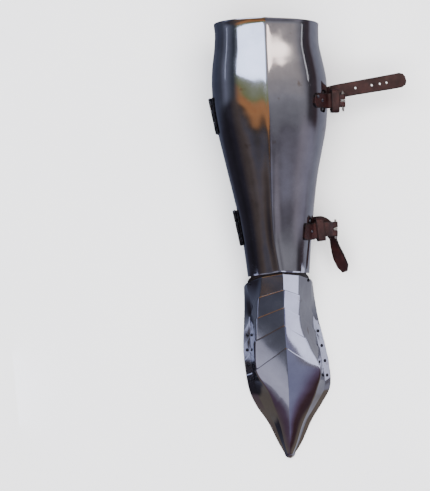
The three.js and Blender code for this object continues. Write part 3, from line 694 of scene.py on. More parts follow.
def foot_plate(k):
    """Foot plate k: it slopes evenly from over the plate before it to under the next one.

    Its rims are cut level with the floor, as sheared and filed edges are.
    """
    first, last = k == 0, k == len(FOOT_PLATES) - 1
    lift = foot_wall() + SHINGLE
    depth = ripple_depth() / 2
    lap_rows, middle_rows, tip_rows = 6, (64 if last else 22), 12

    def point(u, v):
        rear = rear_edge(k, u)
        lap_end = rear if first else front_edge(k - 1, u)
        next_rear = front_edge(k, u) if last else rear_edge(k + 1, u)
        if v < 0:
            y = lerp(rear, lap_end, 1 + v)
        elif v <= 1:
            y = lerp(lap_end, next_rear, v)
        else:
            y = lerp(next_rear, front_edge(k, u), v - 1)
        p = raised_point(k, u, y, lift)
        if last and v > 1:
            turn = (v - 1) * math.pi / 2
            round_off = (TOE_TIP.y - p.y) * (math.sin(turn) - 1 + math.cos(turn))
            return p.lerp(TOE_TIP, 1 - math.cos(turn)) + Vector((0, round_off, 0))
        return hammered(p, foot_normal(u, y), depth * clamp((y - TOE_TIP.y) / TIP_SMOOTH))

    vs = spread(-1, 0, lap_rows)[:-1] if not first else []
    vs += spread(0, 1, middle_rows)
    vs += spread(1, 2, tip_rows if last else lap_rows)[1:]
    plate = sheet(f"formed_{FOOT_PLATES[k]['name']}", foot_lines(), vs[::-1], point)
    more = {}
    if last:
        group = plate.vertex_groups.new(name="wall")
        for vertex in plate.data.vertices:
            reach = (vertex.co.y / MM - TOE_TIP.y) / TIP_WALL
            group.add([vertex.index], clamp(reach, THINNEST, 1), "REPLACE")
        more = {"vertex_group": "wall", "thickness_vertex_group": 0.0}
    thicken(plate, foot_wall(), **more)
    cut_level(plate)
    return plate


class GREAVE_OT_foot_plates(bpy.types.Operator):
    """Forms the ankle plate, the three lames and the pointed toe cap."""

    bl_idname = "greave.foot_plates"
    bl_label = "Foot plates"

    def execute(self, context):
        for k, row in enumerate(FOOT_PLATES):
            plate = foot_plate(k)
            round_edges(plate, EDGES["foot_plate"], angle=60)
            settle(plate, row["name"], "polished_mild_steel")
        return {"FINISHED"}


# Rivets

EAR_U, EAR_Y, EAR_CLEAR = 0.7, -257, 0.1
SIDES = ((-1, "outer"), (1, "inner"))
SHANK = {"radius": 1.2, "length": 4, "sunk": 1.9}
RIVET_CLEAR = 0.1  # gap under a rivet's head


def rivet_places():
    """Name, surface point, normal and height of each rivet's head over the surface, in mm."""
    leaf = LEAF_CLEAR + bpy.context.scene.greave_fittings.leaf_thickness / MM
    on_strap = ON_PLATE + hide_thickness()
    lift = foot_wall() + SHINGLE
    halves = (("front", shin_point, shin_normal), ("back", calf_point, calf_normal))
    places = []
    for hinge in HINGES:
        u = LEAF_HEIGHT * LEAF_RIVET - 1
        for k, share in enumerate(RIVET_SHARES):
            y = lerp(hinge["top"], hinge["bottom"], share)
            for side, point, face in halves:
                name = f"{hinge['name']}_hinge_{side}_rivet_{k + 1}"
                places.append((name, point(u, y), face(u, y), leaf))
    for k, plate in enumerate(FOOT_PLATES[1:], 1):
        for side, hand in SIDES:
            u, y = side * PIVOT_U, plate["pivot"]
            point = raised_point(k, u, y, lift)
            places.append((f"{plate['name']}_{hand}_rivet", point, foot_normal(u, y), 0))
    for side, hand in SIDES:
        u, y = side * EAR_U, EAR_Y
        places.append((f"ankle_{hand}_rivet", foot_point(u, y), foot_normal(u, y), EAR_CLEAR))
    for tab in TABS:
        for k, (u, dy, rise) in enumerate(tab["rivets"]):
            y = tab["y"] + dy
            name = f"{tab['name']}_tab_rivet_{k + 1}"
            places.append((name, shin_point(u, y), shin_normal(u, y), on_strap + rise))
    for strap_row in LONG_STRAPS:
        for k, (u, y, rise) in enumerate(strap_row["rivets"]):
            name = f"{strap_row['name']}_strap_rivet_{k + 1}"
            places.append((name, calf_point(u, y), calf_normal(u, y), on_strap + rise))
    return places


def model_rivet(radius, rise):
    """A rivet with a hammered dome on a shank, its head's flat side at the origin and its axis up."""
    select_none()
    bpy.ops.mesh.primitive_uv_sphere_add(segments=24, ring_count=16, radius=radius * MM)
    head = added("rivet_head")
    cut_level(head)
    edit_all(head, bpy.ops.transform.resize, value=(1, 1, rise / radius), center_override=(0, 0, 0))
    round_edges(head, EDGES["rivet"], angle=60)
    low = Matrix.Translation((0, 0, -SHANK["sunk"] * MM))
    shank = cylinder("rivet_shank", 16, SHANK["radius"], SHANK["length"], low)
    return joined([head, shank], "rivet_model")


class GREAVE_OT_rivets(bpy.types.Operator):
    """Sets a domed rivet at each place where the frame has one."""

    bl_idname = "greave.rivets"
    bl_label = "Rivets"

    def execute(self, context):
        fit = context.scene.greave_fittings
        model = model_rivet(fit.rivet_radius / MM, fit.rivet_rise / MM)
        for name, point, normal, height in rivet_places():
            head = point + normal * (height + RIVET_CLEAR)
            rivet = twin(model, f"domed_{name}", upright_basis(normal, head))
            # Rivets off the straps and tabs take the near-black steel, which on the foot plates is painted
            # shade
            bright = "strap" in name or "tab" in name
            settle(rivet, name, "rivet_steel" if bright else "blacking_and_shade_steel", angle=50)
        bpy.data.objects.remove(model)
        return {"FINISHED"}


# Hinges


def axis_point(y):
    return Vector((AXIS_X + AXIS_SLOPE * y, y, split_z(y)))


def barrel(name, y_from, y_to, radius, sides=24, soft=0.35):
    """Round bar along the hinge axis, with its two rims rounded."""
    low, high = axis_point(y_to), axis_point(y_from)
    way = (high - low).normalized()
    bar = cylinder(name, sides, radius, (high - low).length, upright_basis(way, (low + high) / 2))
    round_edges(bar, soft, segments=3, angle=60)
    return bar


def hinge_leaf(node, surface, face, hinge, us, knuckles):
    """Makes a flat leaf that lies on the plate's side, with its knuckles curled round the pin."""
    thickness = bpy.context.scene.greave_fittings.leaf_thickness / MM

    def point(u, y):
        return surface(u, y) + face(u, y) * (LEAF_CLEAR + thickness)

    leaf = sheet(f"{node}_sheet", us, spread(hinge["bottom"], hinge["top"], 24), point)
    thicken(leaf, thickness)
    round_edges(leaf, EDGES["leaf"])
    settle(joined([leaf, *knuckles], f"bent_{node}"), node, "blacking_and_shade_steel")


class GREAVE_OT_hinges(bpy.types.Operator):
    """Makes both hinges of the leg: two leaves with knuckles and a pin each."""

    bl_idname = "greave.hinges"
    bl_label = "Hinges"

    def execute(self, context):
        fit = context.scene.greave_fittings
        radius, pin = fit.barrel_radius / MM, fit.pin_radius / MM
        lines = spread(LEAF_EDGE, LEAF_HEIGHT - 1, 8)
        for hinge in HINGES:
            name = hinge["name"]
            ends = spread(hinge["top"], hinge["bottom"], 3)
            gap = KNUCKLE_GAP / 2
            knuckles = [
                barrel(f"{name}_knuckle_{k}", ends[k] - gap, ends[k + 1] + gap, radius) for k in range(3)
            ]
            front, back = f"{name}_hinge_front_leaf", f"{name}_hinge_back_leaf"
            hinge_leaf(front, shin_point, shin_normal, hinge, lines, knuckles[::2])
            hinge_leaf(back, calf_point, calf_normal, hinge, lines[::-1], knuckles[1:2])
            node = f"{name}_hinge_pin"
            rod = barrel(f"turned_{node}", ends[0] + PIN_END, ends[3] - PIN_END, pin, sides=16, soft=0.3)
            settle(rod, node, "rivet_steel")
        return {"FINISHED"}


# Straps

STRAP_STEPS = 8  # frames between two stations
WAVE_LENGTH, WAVE_TWIST, WAVE_HEIGHT = 17, 0.4, 0.25  # unevenness of the hide
STRAP_CROWN, STRAP_DROP = 0.25, 0.2
BIT_LENGTH = 12  # length of the cutter that makes a hole
EYE_OUTER, EYE_INNER = 4, 2.35  # radii of the leather fold round the buckle's bar
FOLD_GAP, FOLD_RISE, FOLD_TAIL = 0.5, 9, (2.5, 4.5)  # how the tab is led on to its fold and back
SLOT = {"width": 4.4, "length": 14, "behind": 3.4}
KEEPER = {"width": 33, "height": 15.2, "wall": 2.4, "length": 11, "corner": 4, "clear": 3 * GAP}
SAG_LENGTH, SAG_TWIST, SAG = 9, 3, 0.3  # unevenness of the keepers

# Stations of each tab: on the shin plate (u, width, rise), then in the air (x, y from the tab's own,
# z, width); rivets as (u, y from the tab's own, rise)
TABS = (
    {
        "name": "upper",
        "y": -4.5,
        "laid": ((0.545, 9, 0), (0.56, 16, 0), (0.59, 21, 0), (0.66, 21, 0), (0.72, 21, 0)),
        "free": ((80, 0, 102.3, 21), (90.5, -0.3, 100.2, 21), (98.6, -0.6, 99.4, 18)),
        "keeper_at": 90.5,
        "rivets": ((0.585, 5.3, 0), (0.66, 0.2, 0)),
    },
    {
        "name": "lower",
        "y": -187,
        "laid": ((0.575, 19, 0), (0.595, 24, 0), (0.66, 24, 0.2), (0.76, 23, 1.1)),
        "free": ((54.6, 1, 73.6, 23), (61, 1.8, 72.5, 21), (70, 2, 71.8, 21), (79.5, 1.6, 71.4, 21)),
        "keeper_at": 61,
        "rivets": ((0.735, 1, 1),),
    },
)

# Stations of the long straps: on the calf plate (u, y, width, rise), then in the air (x, y, z,
# width and any roll in degrees); rivets as (u, y, rise)
LONG_STRAPS = (
    {
        "name": "upper",
        "laid": ((0.58, 6.5, 18, 0), (0.61, 6.8, 20, 0), (0.74, 7.6, 20, 0), (0.85, 8.3, 20, 0)),
        "free": (
            (85.5, 9.4, 66.5, 20),
            (94, 11, 68.5, 20),
            (120, 14.6, 66, 20),
            (150, 18.4, 62, 20.6),
            (178, 22, 57, 21.4),
            (190, 23.8, 54.5, 21.5),
            (195.5, 24.8, 53.4, 17.5),
            (198.6, 25.4, 52.8, 8),
        ),
        "holes": (124, 148, 160, 170),
        "rivets": ((0.65, 7, 0), (0.74, 7.6, 0.2)),
    },
    {
        "name": "lower",
        "laid": ((0.56, -179, 18, 0), (0.6, -178.6, 20, 0), (0.68, -177.8, 20, 0.4), (0.76, -177, 20, 2)),
        "free": (
            (57.5, -175.6, 44.5, 20),
            (64.5, -175.6, 46, 20),
            (72, -180.5, 43.5, 20, 12),
            (78.4, -189.5, 40.5, 19, 36),
            (81.3, -200, 38.5, 18, 66),
            (83.6, -211, 37, 18.5, 56),
            (88, -226, 36, 20, 42),
            (93, -239, 35.5, 19.5, 42),
            (95.5, -246.5, 35, 11, 42),
            (96.2, -248.5, 35, 8, 42),
        ),
        "holes": (),
        "rivets": ((0.635, -178.2, 0.4),),
    },
)


def course_point(points, t):
    """Point at t from 0 to 1 of the centripetal Catmull-Rom curve through points."""
    last = len(points) - 1
    i = min(int(t * last), last - 1)
    p1, p2 = points[i], points[i + 1]
    p0 = points[i - 1] if i > 0 else 2 * p1 - p2
    p3 = points[i + 2] if i + 2 <= last else 2 * p2 - p1
    d0, d1, d2 = ((b - a).length ** 0.5 for a, b in ((p0, p1), (p1, p2), (p2, p3)))
    m1 = ((p1 - p0) / d0 - (p2 - p0) / (d0 + d1) + (p2 - p1) / d1) * d1
    m2 = ((p2 - p1) / d1 - (p3 - p1) / (d1 + d2) + (p3 - p2) / d2) * d1
    w0, w1, w2, w3 = hermite(t * last - i)
    return w0 * p1 + w1 * m1 + w2 * p2 + w3 * m2


def laid(surface, face, u, y, width, rise):
    """Station of a strap that lies on a leg plate, or leaves it by a small rise."""
    way = (surface(u, y + 1) - surface(u, y - 1)).normalized()
    height = ON_PLATE + hide_thickness() / 2 + rise
    return {"p": surface(u, y) + face(u, y) * height, "way": way, "width": width}


def free(x, y, z, width, roll=0):
    """Station of a strap in the air; roll turns its face about its own length."""
    return {"p": Vector((x, y, z)), "way": None, "width": width, "roll": math.radians(roll)}


def strap_frames(stations):
    """Frames along a strap: the middle point, the way along, the way across, the normal and width."""
    points = [s["p"] for s in stations]
    last = len(stations) - 1

    def tangent(t):
        before, after = (course_point(points, clamp(t + step)) for step in (-NEAR_T, NEAR_T))
        return (after - before).normalized()

    ways = []
    for i, station in enumerate(stations):
        if station["way"] is not None:
            ways.append(station["way"])
            continue
        along = tangent(i / last)
        level = UP.cross(along).normalized()
        ways.append(Matrix.Rotation(station["roll"], 3, along) @ level)
    frames = []
    for k in range(last * STRAP_STEPS + 1):
        i = min(k // STRAP_STEPS, last - 1)
        share = k / STRAP_STEPS - i
        t = k / (last * STRAP_STEPS)
        along = tangent(t)
        normal = along.cross(ways[i].lerp(ways[i + 1], share)).normalized()
        frames.append({
            "p": course_point(points, t),
            "along": along,
            "across": normal.cross(along).normalized(),
            "normal": normal,
            "width": lerp(stations[i]["width"], stations[i + 1]["width"], smooth(share)),
        })
    return frames


def strap(name, frames):
    """Strip of leather along frames, with a slight wave and crown and soft corners."""

    def point(u, f):
        wave = noise.noise(f["p"] / WAVE_LENGTH + Vector((u, 0, 0)) * WAVE_TWIST) * WAVE_HEIGHT
        lift = wave + STRAP_CROWN * (1 - u * u) - STRAP_DROP
        return f["p"] + f["across"] * (u * f["width"] / 2) + f["normal"] * lift

    obj = sheet(name, spread(-1, 1, 8), frames, point)
    thicken(obj, hide_thickness(), offset=0)
    round_edges(obj, EDGES["strap"], segments=3)
    return obj


def drill(obj, point, way, radius):
    """Round hole through a strap at a point in mm."""
    cut_away(obj, cylinder("bit", 24, radius, BIT_LENGTH, upright_basis(way, point)))


def tab_frames(tab):
    """Frames of a buckle tab, up to the fold, and the frame at the middle of the buckle's bar."""
    stations = [laid(shin_point, shin_normal, u, tab["y"], width, rise) for u, width, rise in tab["laid"]]
    stations += [free(x, tab["y"] + dy, z, width) for x, dy, z, width in tab["free"]]
    frames = strap_frames(stations)
    end = frames[-1]
    return frames, dict(end, p=end["p"] + end["along"] * (EYE_OUTER - hide_thickness() / 2))


def fold_frames(frames, bar):
    """The tab's frames, led over the buckle's bar, round it and back under the strap."""
    radius = EYE_OUTER - hide_thickness() / 2
    along, normal = bar["along"], bar["normal"]
    led = []
    for f in frames:
        ahead = (bar["p"] - f["p"]).dot(along) - FOLD_GAP
        if ahead >= 0:
            rise = radius * smooth(clamp(1 - ahead / FOLD_RISE))
            led.append(dict(f, p=f["p"] + f["normal"] * rise))
    for turn in spread(math.pi / 2, -math.pi / 2, 12):
        outward = along * math.cos(turn) + normal * math.sin(turn)
        led.append(dict(bar, p=bar["p"] + outward * radius, normal=outward))
    for back in FOLD_TAIL:
        led.append(dict(bar, p=bar["p"] - normal * radius - along * back, normal=-normal))
    return led


def cut_slot(obj, bar):
    """Slot in the fold, in which the tongue turns."""
    select_none()
    bpy.ops.mesh.primitive_cube_add(size=1)
    block = added("slot_block")
    length = SLOT["length"]
    middle = bar["p"] + bar["along"] * (length / 2 - SLOT["behind"])
    place_mesh(block, Matrix.Diagonal((length * MM, SLOT["width"] * MM, length * MM, 1)))
    place_mesh(block, basis(bar["along"], bar["across"], bar["normal"], middle))
    cut_away(obj, block)


def rounded_loop(width, height, corner, count):
    """Points round a rectangle with round corners, as (x, y, outward x, outward y), evenly spaced."""
    reach = (width / 2, height / 2)
    quarters = [2 * (reach[1 - k % 2] - corner) + corner * math.pi / 2 for k in range(4)]
    loop = []
    for k in range(count):
        at = sum(quarters) * k / count
        quarter = 0
        while at > quarters[quarter]:
            at -= quarters[quarter]
            quarter += 1
        side = reach[1 - quarter % 2] - corner
        turned = max(at - 2 * side, 0) / corner
        outward = Vector((math.cos(turned), math.sin(turned)))
        spot = Vector((reach[quarter % 2] - corner, min(at - side, side))) + outward * corner
        turn = Matrix.Rotation(quarter * math.pi / 2, 2)
        loop.append((*(turn @ spot), *(turn @ outward)))
    return loop


def keeper(name, holder):
    """Leather loop round the tab, as a closed band."""
    wall, length = KEEPER["wall"], KEEPER["length"]
    loop = rounded_loop(KEEPER["width"], KEEPER["height"], KEEPER["corner"], 72)
    drop = hide_thickness() / 2 + KEEPER["clear"] - (KEEPER["height"] / 2 - wall)
    centre = holder["p"] + holder["normal"] * drop

    def point(v, spot):
        x, y = spot[:2]
        y += noise.noise(Vector((x, y, v * SAG_TWIST)) / SAG_LENGTH) * SAG
        return centre + holder["across"] * x + holder["normal"] * y + holder["along"] * (v * length / 2)

    band = sheet(name, spread(-1, 1, 6), loop + loop[:1], point)
    modify(band, "WELD", merge_threshold=0.01 * MM)
    edit_all(band, bpy.ops.mesh.normals_make_consistent, inside=False)
    thicken(band, wall)
    round_edges(band, EDGES["keeper"], segments=3)
    return band


class GREAVE_OT_buckle_tabs(bpy.types.Operator):
    """Cuts the two short straps with their folds round the buckles, and their keepers."""

    bl_idname = "greave.buckle_tabs"
    bl_label = "Buckle tabs"

    def execute(self, context):
        for tab in TABS:
            frames, bar = tab_frames(tab)
            name = tab["name"]
            piece = strap(f"cut_{name}_buckle_tab", fold_frames(frames, bar))
            cut_slot(piece, bar)
            settle(piece, f"{name}_buckle_tab", "waxed_cowhide")
            holder = min(frames, key=lambda f: abs(f["p"].x - tab["keeper_at"]))
            band = keeper(f"sewn_{name}_keeper", holder)
            settle(band, f"{name}_keeper", "waxed_cowhide")
        return {"FINISHED"}


class GREAVE_OT_long_straps(bpy.types.Operator):
    """Cuts the two long straps on the calf plate, one with its tongue holes."""

    bl_idname = "greave.long_straps"
    bl_label = "Long straps"

    def execute(self, context):
        radius = context.scene.greave_leather.hole_radius / MM
        for row in LONG_STRAPS:
            stations = [laid(calf_point, calf_normal, *station) for station in row["laid"]]
            stations += [free(*station) for station in row["free"]]
            frames = strap_frames(stations)
            piece = strap(f"cut_{row['name']}_long_strap", frames)
            for x in row["holes"]:
                f = min(frames, key=lambda g: abs(g["p"].x - x))
                drill(piece, f["p"] + f["along"] * ((x - f["p"].x) / f["along"].x), f["normal"], radius)
            settle(piece, f"{row['name']}_long_strap", "waxed_cowhide")
        return {"FINISHED"}


# Buckles

BUCKLE = {"width": 28, "height": 20, "wire": 2.6, "lean": 8, "corner": 3.5}
TONGUE = {"radius": 1, "length": 19.6, "ring": 3.3, "width": 3.2, "taper": 0.6}


def wire_loop(name, width, height, corner, wire):
    """Closed loop of round wire bent to a rectangle, in the XY plane, from a torus."""
    select_none()
    around, tube = 96, 0.25
    bpy.ops.mesh.primitive_torus_add(
        major_segments=around, minor_segments=16, major_radius=1, minor_radius=tube
    )
    ring = added(name)
    loop = rounded_loop(width - wire, height - wire, corner, around)
    swell = wire / 2 / tube
    for vertex in ring.data.vertices:
        angle = math.atan2(vertex.co.y, vertex.co.x) % math.tau
        out = (math.hypot(vertex.co.x, vertex.co.y) - 1) * swell
        x, y, nx, ny = loop[round(angle / math.tau * around) % around]
        vertex.co = Vector((x + nx * out, y + ny * out, vertex.co.z * swell)) * MM
    return ring


def tongue_parts(bar, root, down):
    """The tapered prong, which hangs from the root, and the eye that is bent round the bar."""
    prong = cylinder("prong", 16, TONGUE["radius"], TONGUE["length"], Matrix())
    for vertex in prong.data.vertices:
        if vertex.co.z > 0:
            vertex.co.x *= TONGUE["taper"]
            vertex.co.y *= TONGUE["taper"]
    middle = root + down * (TONGUE["length"] / 2)
    place_mesh(prong, basis(bar["across"], down.cross(bar["across"]), down, middle))
    wall = (TONGUE["ring"] - EYE_INNER) / 2
    select_none()
    bpy.ops.mesh.primitive_torus_add(
        major_segments=32, minor_segments=12, major_radius=(EYE_INNER + wall) * MM, minor_radius=wall * MM
    )
    eye = added("tongue_eye")
    place_mesh(eye, Matrix.Diagonal((1, 1, TONGUE["width"] / 2 / wall, 1)))
    place_mesh(eye, upright_basis(bar["across"], bar["p"]))
    return prong, eye


class GREAVE_OT_buckles(bpy.types.Operator):
    """Bends the two buckle frames and their tongues."""

    bl_idname = "greave.buckles"
    bl_label = "Buckles"

    def execute(self, context):
        lean = math.radians(BUCKLE["lean"])
        down = Vector((math.sin(lean), 0, -math.cos(lean)))
        wire = BUCKLE["wire"]
        for tab in TABS:
            _, bar = tab_frames(tab)
            face = down.cross(bar["across"]).normalized()
            hang = bar["p"] + down * ((BUCKLE["height"] - wire) / 2)
            node = f"{tab['name']}_buckle_frame"
            ring = wire_loop(f"bent_{node}", BUCKLE["width"], BUCKLE["height"], BUCKLE["corner"], wire)
            place_mesh(ring, basis(bar["across"], down, bar["across"].cross(down), hang))
            settle(ring, node, "buckle_steel")
            root = bar["p"] + face * (wire / 2 + TONGUE["radius"] + GAP)
            node = f"{tab['name']}_buckle_tongue"
            tongue = joined(tongue_parts(bar, root, down), f"forged_{node}")
            round_edges(tongue, EDGES["tongue"], segments=3, angle=60)
            settle(tongue, node, "buckle_steel")
        return {"FINISHED"}


# Leather inside the ankle

BAND_ROWS = table(
    "surface y clear",
    ("leg", -222, 0.9),
    ("leg", -232, 1.6),
    ("leg", -245, 3.8),
    ("foot", -254, 2),
    ("foot", -263, 1.2),
)
BAND_SOFT = 0.15  # the band's distance is taken along the mean of normals this far apart in u


class GREAVE_OT_ankle_band(bpy.types.Operator):
    """Cuts the hidden leather that joins the foot plates to the shin plate; its near-black colour is
    painted shade in the gap at the ankle.
    """

    bl_idname = "greave.ankle_band"
    bl_label = "Ankle band"

    def execute(self, context):
        surfaces = {
            "leg": (shin_point, shin_normal, leg_wall(), 0.93),
            "foot": (foot_point, foot_normal, foot_wall(), 0.8),
        }

        def station(share, row):
            surface, face, wall, end = surfaces[row["surface"]]
            u, y = share * end, row["y"]
            outward = face(u - BAND_SOFT, y) + face(u, y) + face(u + BAND_SOFT, y)
            return surface(u, y) - outward.normalized() * (wall + row["clear"])

        def point(share, t):
            return course_point([station(share, row) for row in BAND_ROWS], t)

        band = sheet("cut_ankle_band", spread(-1, 1, 48), spread(0, 1, 16)[::-1], point)
        thicken(band, hide_thickness())
        round_edges(band, EDGES["band"])
        # The band's near-black leather is painted shade seen through the ankle gap
        settle(band, "ankle_band", "painted_shade_cowhide")
        return {"FINISHED"}


# Studio

EYE_POINT = Vector((-0.09125, -0.1988, 2.1))
PICTURE_UP = Vector((0.0602, 0.9982, 0))
LENS = 103.7
FLOOR_DROP = 0.4 * MM  # keeps the floor off the sole edges


def studio_camera():
    """Camera that looks straight down, as in the photo."""
    view = bpy.data.cameras.new("overhead_camera")
    view.lens, view.sensor_width, view.clip_end = LENS, 36, 50
    camera = bpy.data.objects.new("overhead_camera", view)
    axes = Matrix((PICTURE_UP.cross(UP), PICTURE_UP, UP)).transposed()
    camera.matrix_world = Matrix.Translation(EYE_POINT) @ axes.to_4x4()
    bpy.context.scene.collection.objects.link(camera)
    bpy.context.scene.camera = camera


def studio_light(name, place, size, colour, watts, aim, mirrored_in_steel):
    """Soft rectangular light that faces a point."""
    light = bpy.data.lights.new(name, "AREA")
    light.shape, light.size, light.size_y = "RECTANGLE", size[0], size[1]
    light.color, light.energy = rgb(colour)[:3], watts * bpy.context.scene.greave_studio.light
    lamp = bpy.data.objects.new(name, light)
    lamp.location = place
    lamp.rotation_euler = (aim - Vector(place)).to_track_quat("-Z", "Y").to_euler()
    lamp.visible_camera = False
    lamp.visible_glossy = mirrored_in_steel
    bpy.context.scene.collection.objects.link(lamp)


def studio_room():
    """Room of soft gradients that the steel mirrors.

    It is dark to the hinge side, blue-grey to the buckle side and pale overhead, with a warm and a
    green band over the hinges and maroon low past the toe.
    """
    world = bpy.data.worlds.new("studio_room")
    world.use_nodes = True
    tree = world.node_tree
    way = add(tree, "ShaderNodeTexCoord").outputs["Generated"]
    x, y, z = add(tree, "ShaderNodeSeparateXYZ", Vector=way).outputs

    def share(source, start, end):
        settings = {"interpolation_type": "SMOOTHSTEP", "From Min": start, "From Max": end}
        return add(tree, "ShaderNodeMapRange", settings, Value=source).outputs[0]

    def blend(factor, first, second):
        settings = {"data_type": "RGBA"}
        return add(tree, "ShaderNodeMix", settings, in0=factor, in6=first, in7=second).outputs[2]

    beside = add(tree, "ShaderNodeMath", {"operation": "MINIMUM", 1: SLANT_FROM}, in0=x)
    slanting = {"operation": "MULTIPLY_ADD", 1: SLANT}
    slanted = add(tree, "ShaderNodeMath", slanting, in0=beside.outputs[0], in2=y).outputs[0]
    level, along = remap(tree, z, -1, 1, 0, 1), remap(tree, y, -1, 1, 0, 1)
    askew = remap(tree, slanted, SLANT_MIDDLE - 1, SLANT_MIDDLE + 1, 0, 1)
    toe_end = share(y, *TOE_END)
    walls = []
    for middle, end, other, toe in WALLS:
        wall = blend(share(y, *end), ramp(tree, level, *middle), ramp(tree, level, *other))
        walls.append(blend(toe_end, wall, ramp(tree, level, *toe)))
    over_hinges = blend(
        share(y, *OVER_TOE_END), ramp(tree, askew, *OVER_HINGE_SIDE), ramp(tree, along, *OVER_TOE)
    )
    right = share(x, -HALF_BLEND, HALF_BLEND)
    overhead = blend(right, over_hinges, ramp(tree, along, *OVER_BUCKLE_SIDE))
    room = blend(share(z, *WALL_TOP), blend(right, *walls), overhead)
    back = tree.nodes["Background"]
    tree.links.new(room, back.inputs["Color"])
    back.inputs["Strength"].default_value = bpy.context.scene.greave_studio.surroundings
    bpy.context.scene.world = world


class GREAVE_OT_studio(bpy.types.Operator):
    """Sets the pale floor, the soft lights, the surroundings and the camera."""

    bl_idname = "greave.studio"
    bl_label = "Studio"

    def execute(self, context):
        select_none()
        bpy.ops.mesh.primitive_plane_add(size=14, location=(0, 0, -FLOOR_DROP))
        floor = added("studio_floor")
        bpy.ops.object.transform_apply(location=True, rotation=False, scale=False)
        floor.data.materials.append(material_named("matt_floor_paint"))
        floor.visible_glossy = False
        studio_room()
        for row in LIGHTS:
            studio_light(*row)
        studio_camera()
        return {"FINISHED"}


# The room's gradients, from low to high share of the way of a reflection. Overhead they run
# lengthways, 0 past the toe and 1 past the knee, the one over the hinges aslant. On the walls they
# run upright, 0 straight down and 1 straight up.
SLANT, SLANT_MIDDLE, SLANT_FROM = 0.6, -0.39, -0.6
OVER_HINGE_SIDE = (
    (0.26, "#45403f"),
    (0.285, "#6c615e"),
    (0.305, "#5c5a64"),
    (0.342, "#474038"),
    (0.362, "#c4895a"),
    (0.39, "#c0845a"),
    (0.42, "#8c9064"),
    (0.47, "#a4aa96"),
    (0.5, "#c0c4cc"),
)
OVER_TOE = ((0.1, "#8a8a9e"), (0.2, "#62646f"), (0.3, "#4a4c5a"))
OVER_BUCKLE_SIDE = (
    (0.1, "#8a8cae"),
    (0.25, "#9294b0"),
    (0.29, "#85818c"),
    (0.32, "#66626a"),
    (0.37, "#87868c"),
    (0.43, "#a09ea4"),
    (0.5, "#b8b0ae"),
)
HINGE_SIDE = ((0.0, "#565a6c"), (0.18, "#34323c"), (0.4, "#28262c"), (0.55, "#322f38"), (0.7, "#584e4a"))
HINGE_KNEE_SIDE = (
    (0.0, "#5c6070"),
    (0.19, "#484c5e"),
    (0.35, "#4c4f5c"),
    (0.5, "#7e8294"),
    (0.66, "#464b55"),
)
HINGE_TOE_SIDE = (
    (0.0, "#666468"),
    (0.35, "#70685f"),
    (0.48, "#5c4a58"),
    (0.53, "#604e62"),
    (0.6, "#9a99a8"),
)
BUCKLE_SIDE = (
    (0.0, "#a8a8b2"),
    (0.3, "#8e8f9c"),
    (0.4, "#84828c"),
    (0.47, "#4c4045"),
    (0.62, "#454146"),
    (0.7, "#8a888e"),
)
BUCKLE_ANKLE_SIDE = ((0.0, "#a8a8b2"), (0.35, "#93929f"), (0.5, "#9592a1"), (0.72, "#948d96"))
BUCKLE_TOE_SIDE = (
    (0.0, "#908c88"),
    (0.2, "#7c7268"),
    (0.4, "#776b60"),
    (0.52, "#46343a"),
    (0.62, "#4a3438"),
    (0.68, "#6c5a74"),
    (0.75, "#9496b6"),
)

# Where the gradients blend into each other, by the way's lengthways, sideways and upright shares:
# the walls with their knee, ankle and toe ends, the hinge wall with the buckle wall, and the walls
# with what is overhead
KNEE_BLEND, ANKLE_BLEND, TOE_END, OVER_TOE_END = (-0.14, -0.02), (-0.2, -0.3), (-0.4, -0.48), (-0.4, -0.45)
HALF_BLEND, WALL_TOP = 0.12, (0.35, 0.6)
WALLS = (
    (HINGE_SIDE, KNEE_BLEND, HINGE_KNEE_SIDE, HINGE_TOE_SIDE),
    (BUCKLE_SIDE, ANKLE_BLEND, BUCKLE_ANKLE_SIDE, BUCKLE_TOE_SIDE),
)
AIM, FOOT_AIM = Vector((0, -0.1, 0.08)), Vector((0, -0.38, 0.03))

# Soft lights: name, place, width and length in metres, colour, watts, the point that it faces, and
# if the steel mirrors it
LIGHTS = (
    ("cool_panel", (-1.02, 0.35, 1.23), (0.64, 0.9), "#d3e0ff", 6.6, AIM, True),
    ("warm_panel", (0.9, 0.42, 1.28), (0.34, 0.8), "#ffeadb", 3.4, AIM, True),
    ("instep_panel", (0.4, -0.46, 0.2), (0.16, 0.2), "#dde2ff", 0.17, FOOT_AIM, True),
    ("inner_edge_panel", (0.4, -0.375, 0.01), (0.15, 0.14), "#d6daf2", 0.085, FOOT_AIM, True),
    ("outer_edge_panel", (-0.4, -0.395, 0.02), (0.11, 0.16), "#c4ccf0", 0.05, FOOT_AIM, True),
    ("toe_panel", (-0.3, -0.7, 0.22), (0.26, 0.2), "#d4d5ea", 0.075, FOOT_AIM, True),
    ("outer_strip", (-1.3, 0.28, 0.12), (0.3, 0.04), "#c8d0e8", 0.04, AIM, True),
    ("inner_strip", (1.28, 0.19, 0.5), (0.32, 0.014), "#ffffff", 0.055, AIM, True),
    ("ceiling_fill", (0, -0.2, 2.6), (3.2, 3.2), "#ffffff", 250, AIM, False),
)


# Settings


def size_property(name, description, size, precision=4):
    """Length with a default in mm."""
    return bpy.props.FloatProperty(
        name=name, description=description, default=size * MM, unit="LENGTH", precision=precision
    )


def share_property(name, description, share):
    return bpy.props.FloatProperty(name=name, description=description, default=share, subtype="FACTOR")


def strength_property(name, description):
    return bpy.props.FloatProperty(name=name, description=description, default=1.0)


def colour_property(name, description, code):
    """Colour as an sRGB hex code."""
    return bpy.props.StringProperty(name=name, description=description, default=code)


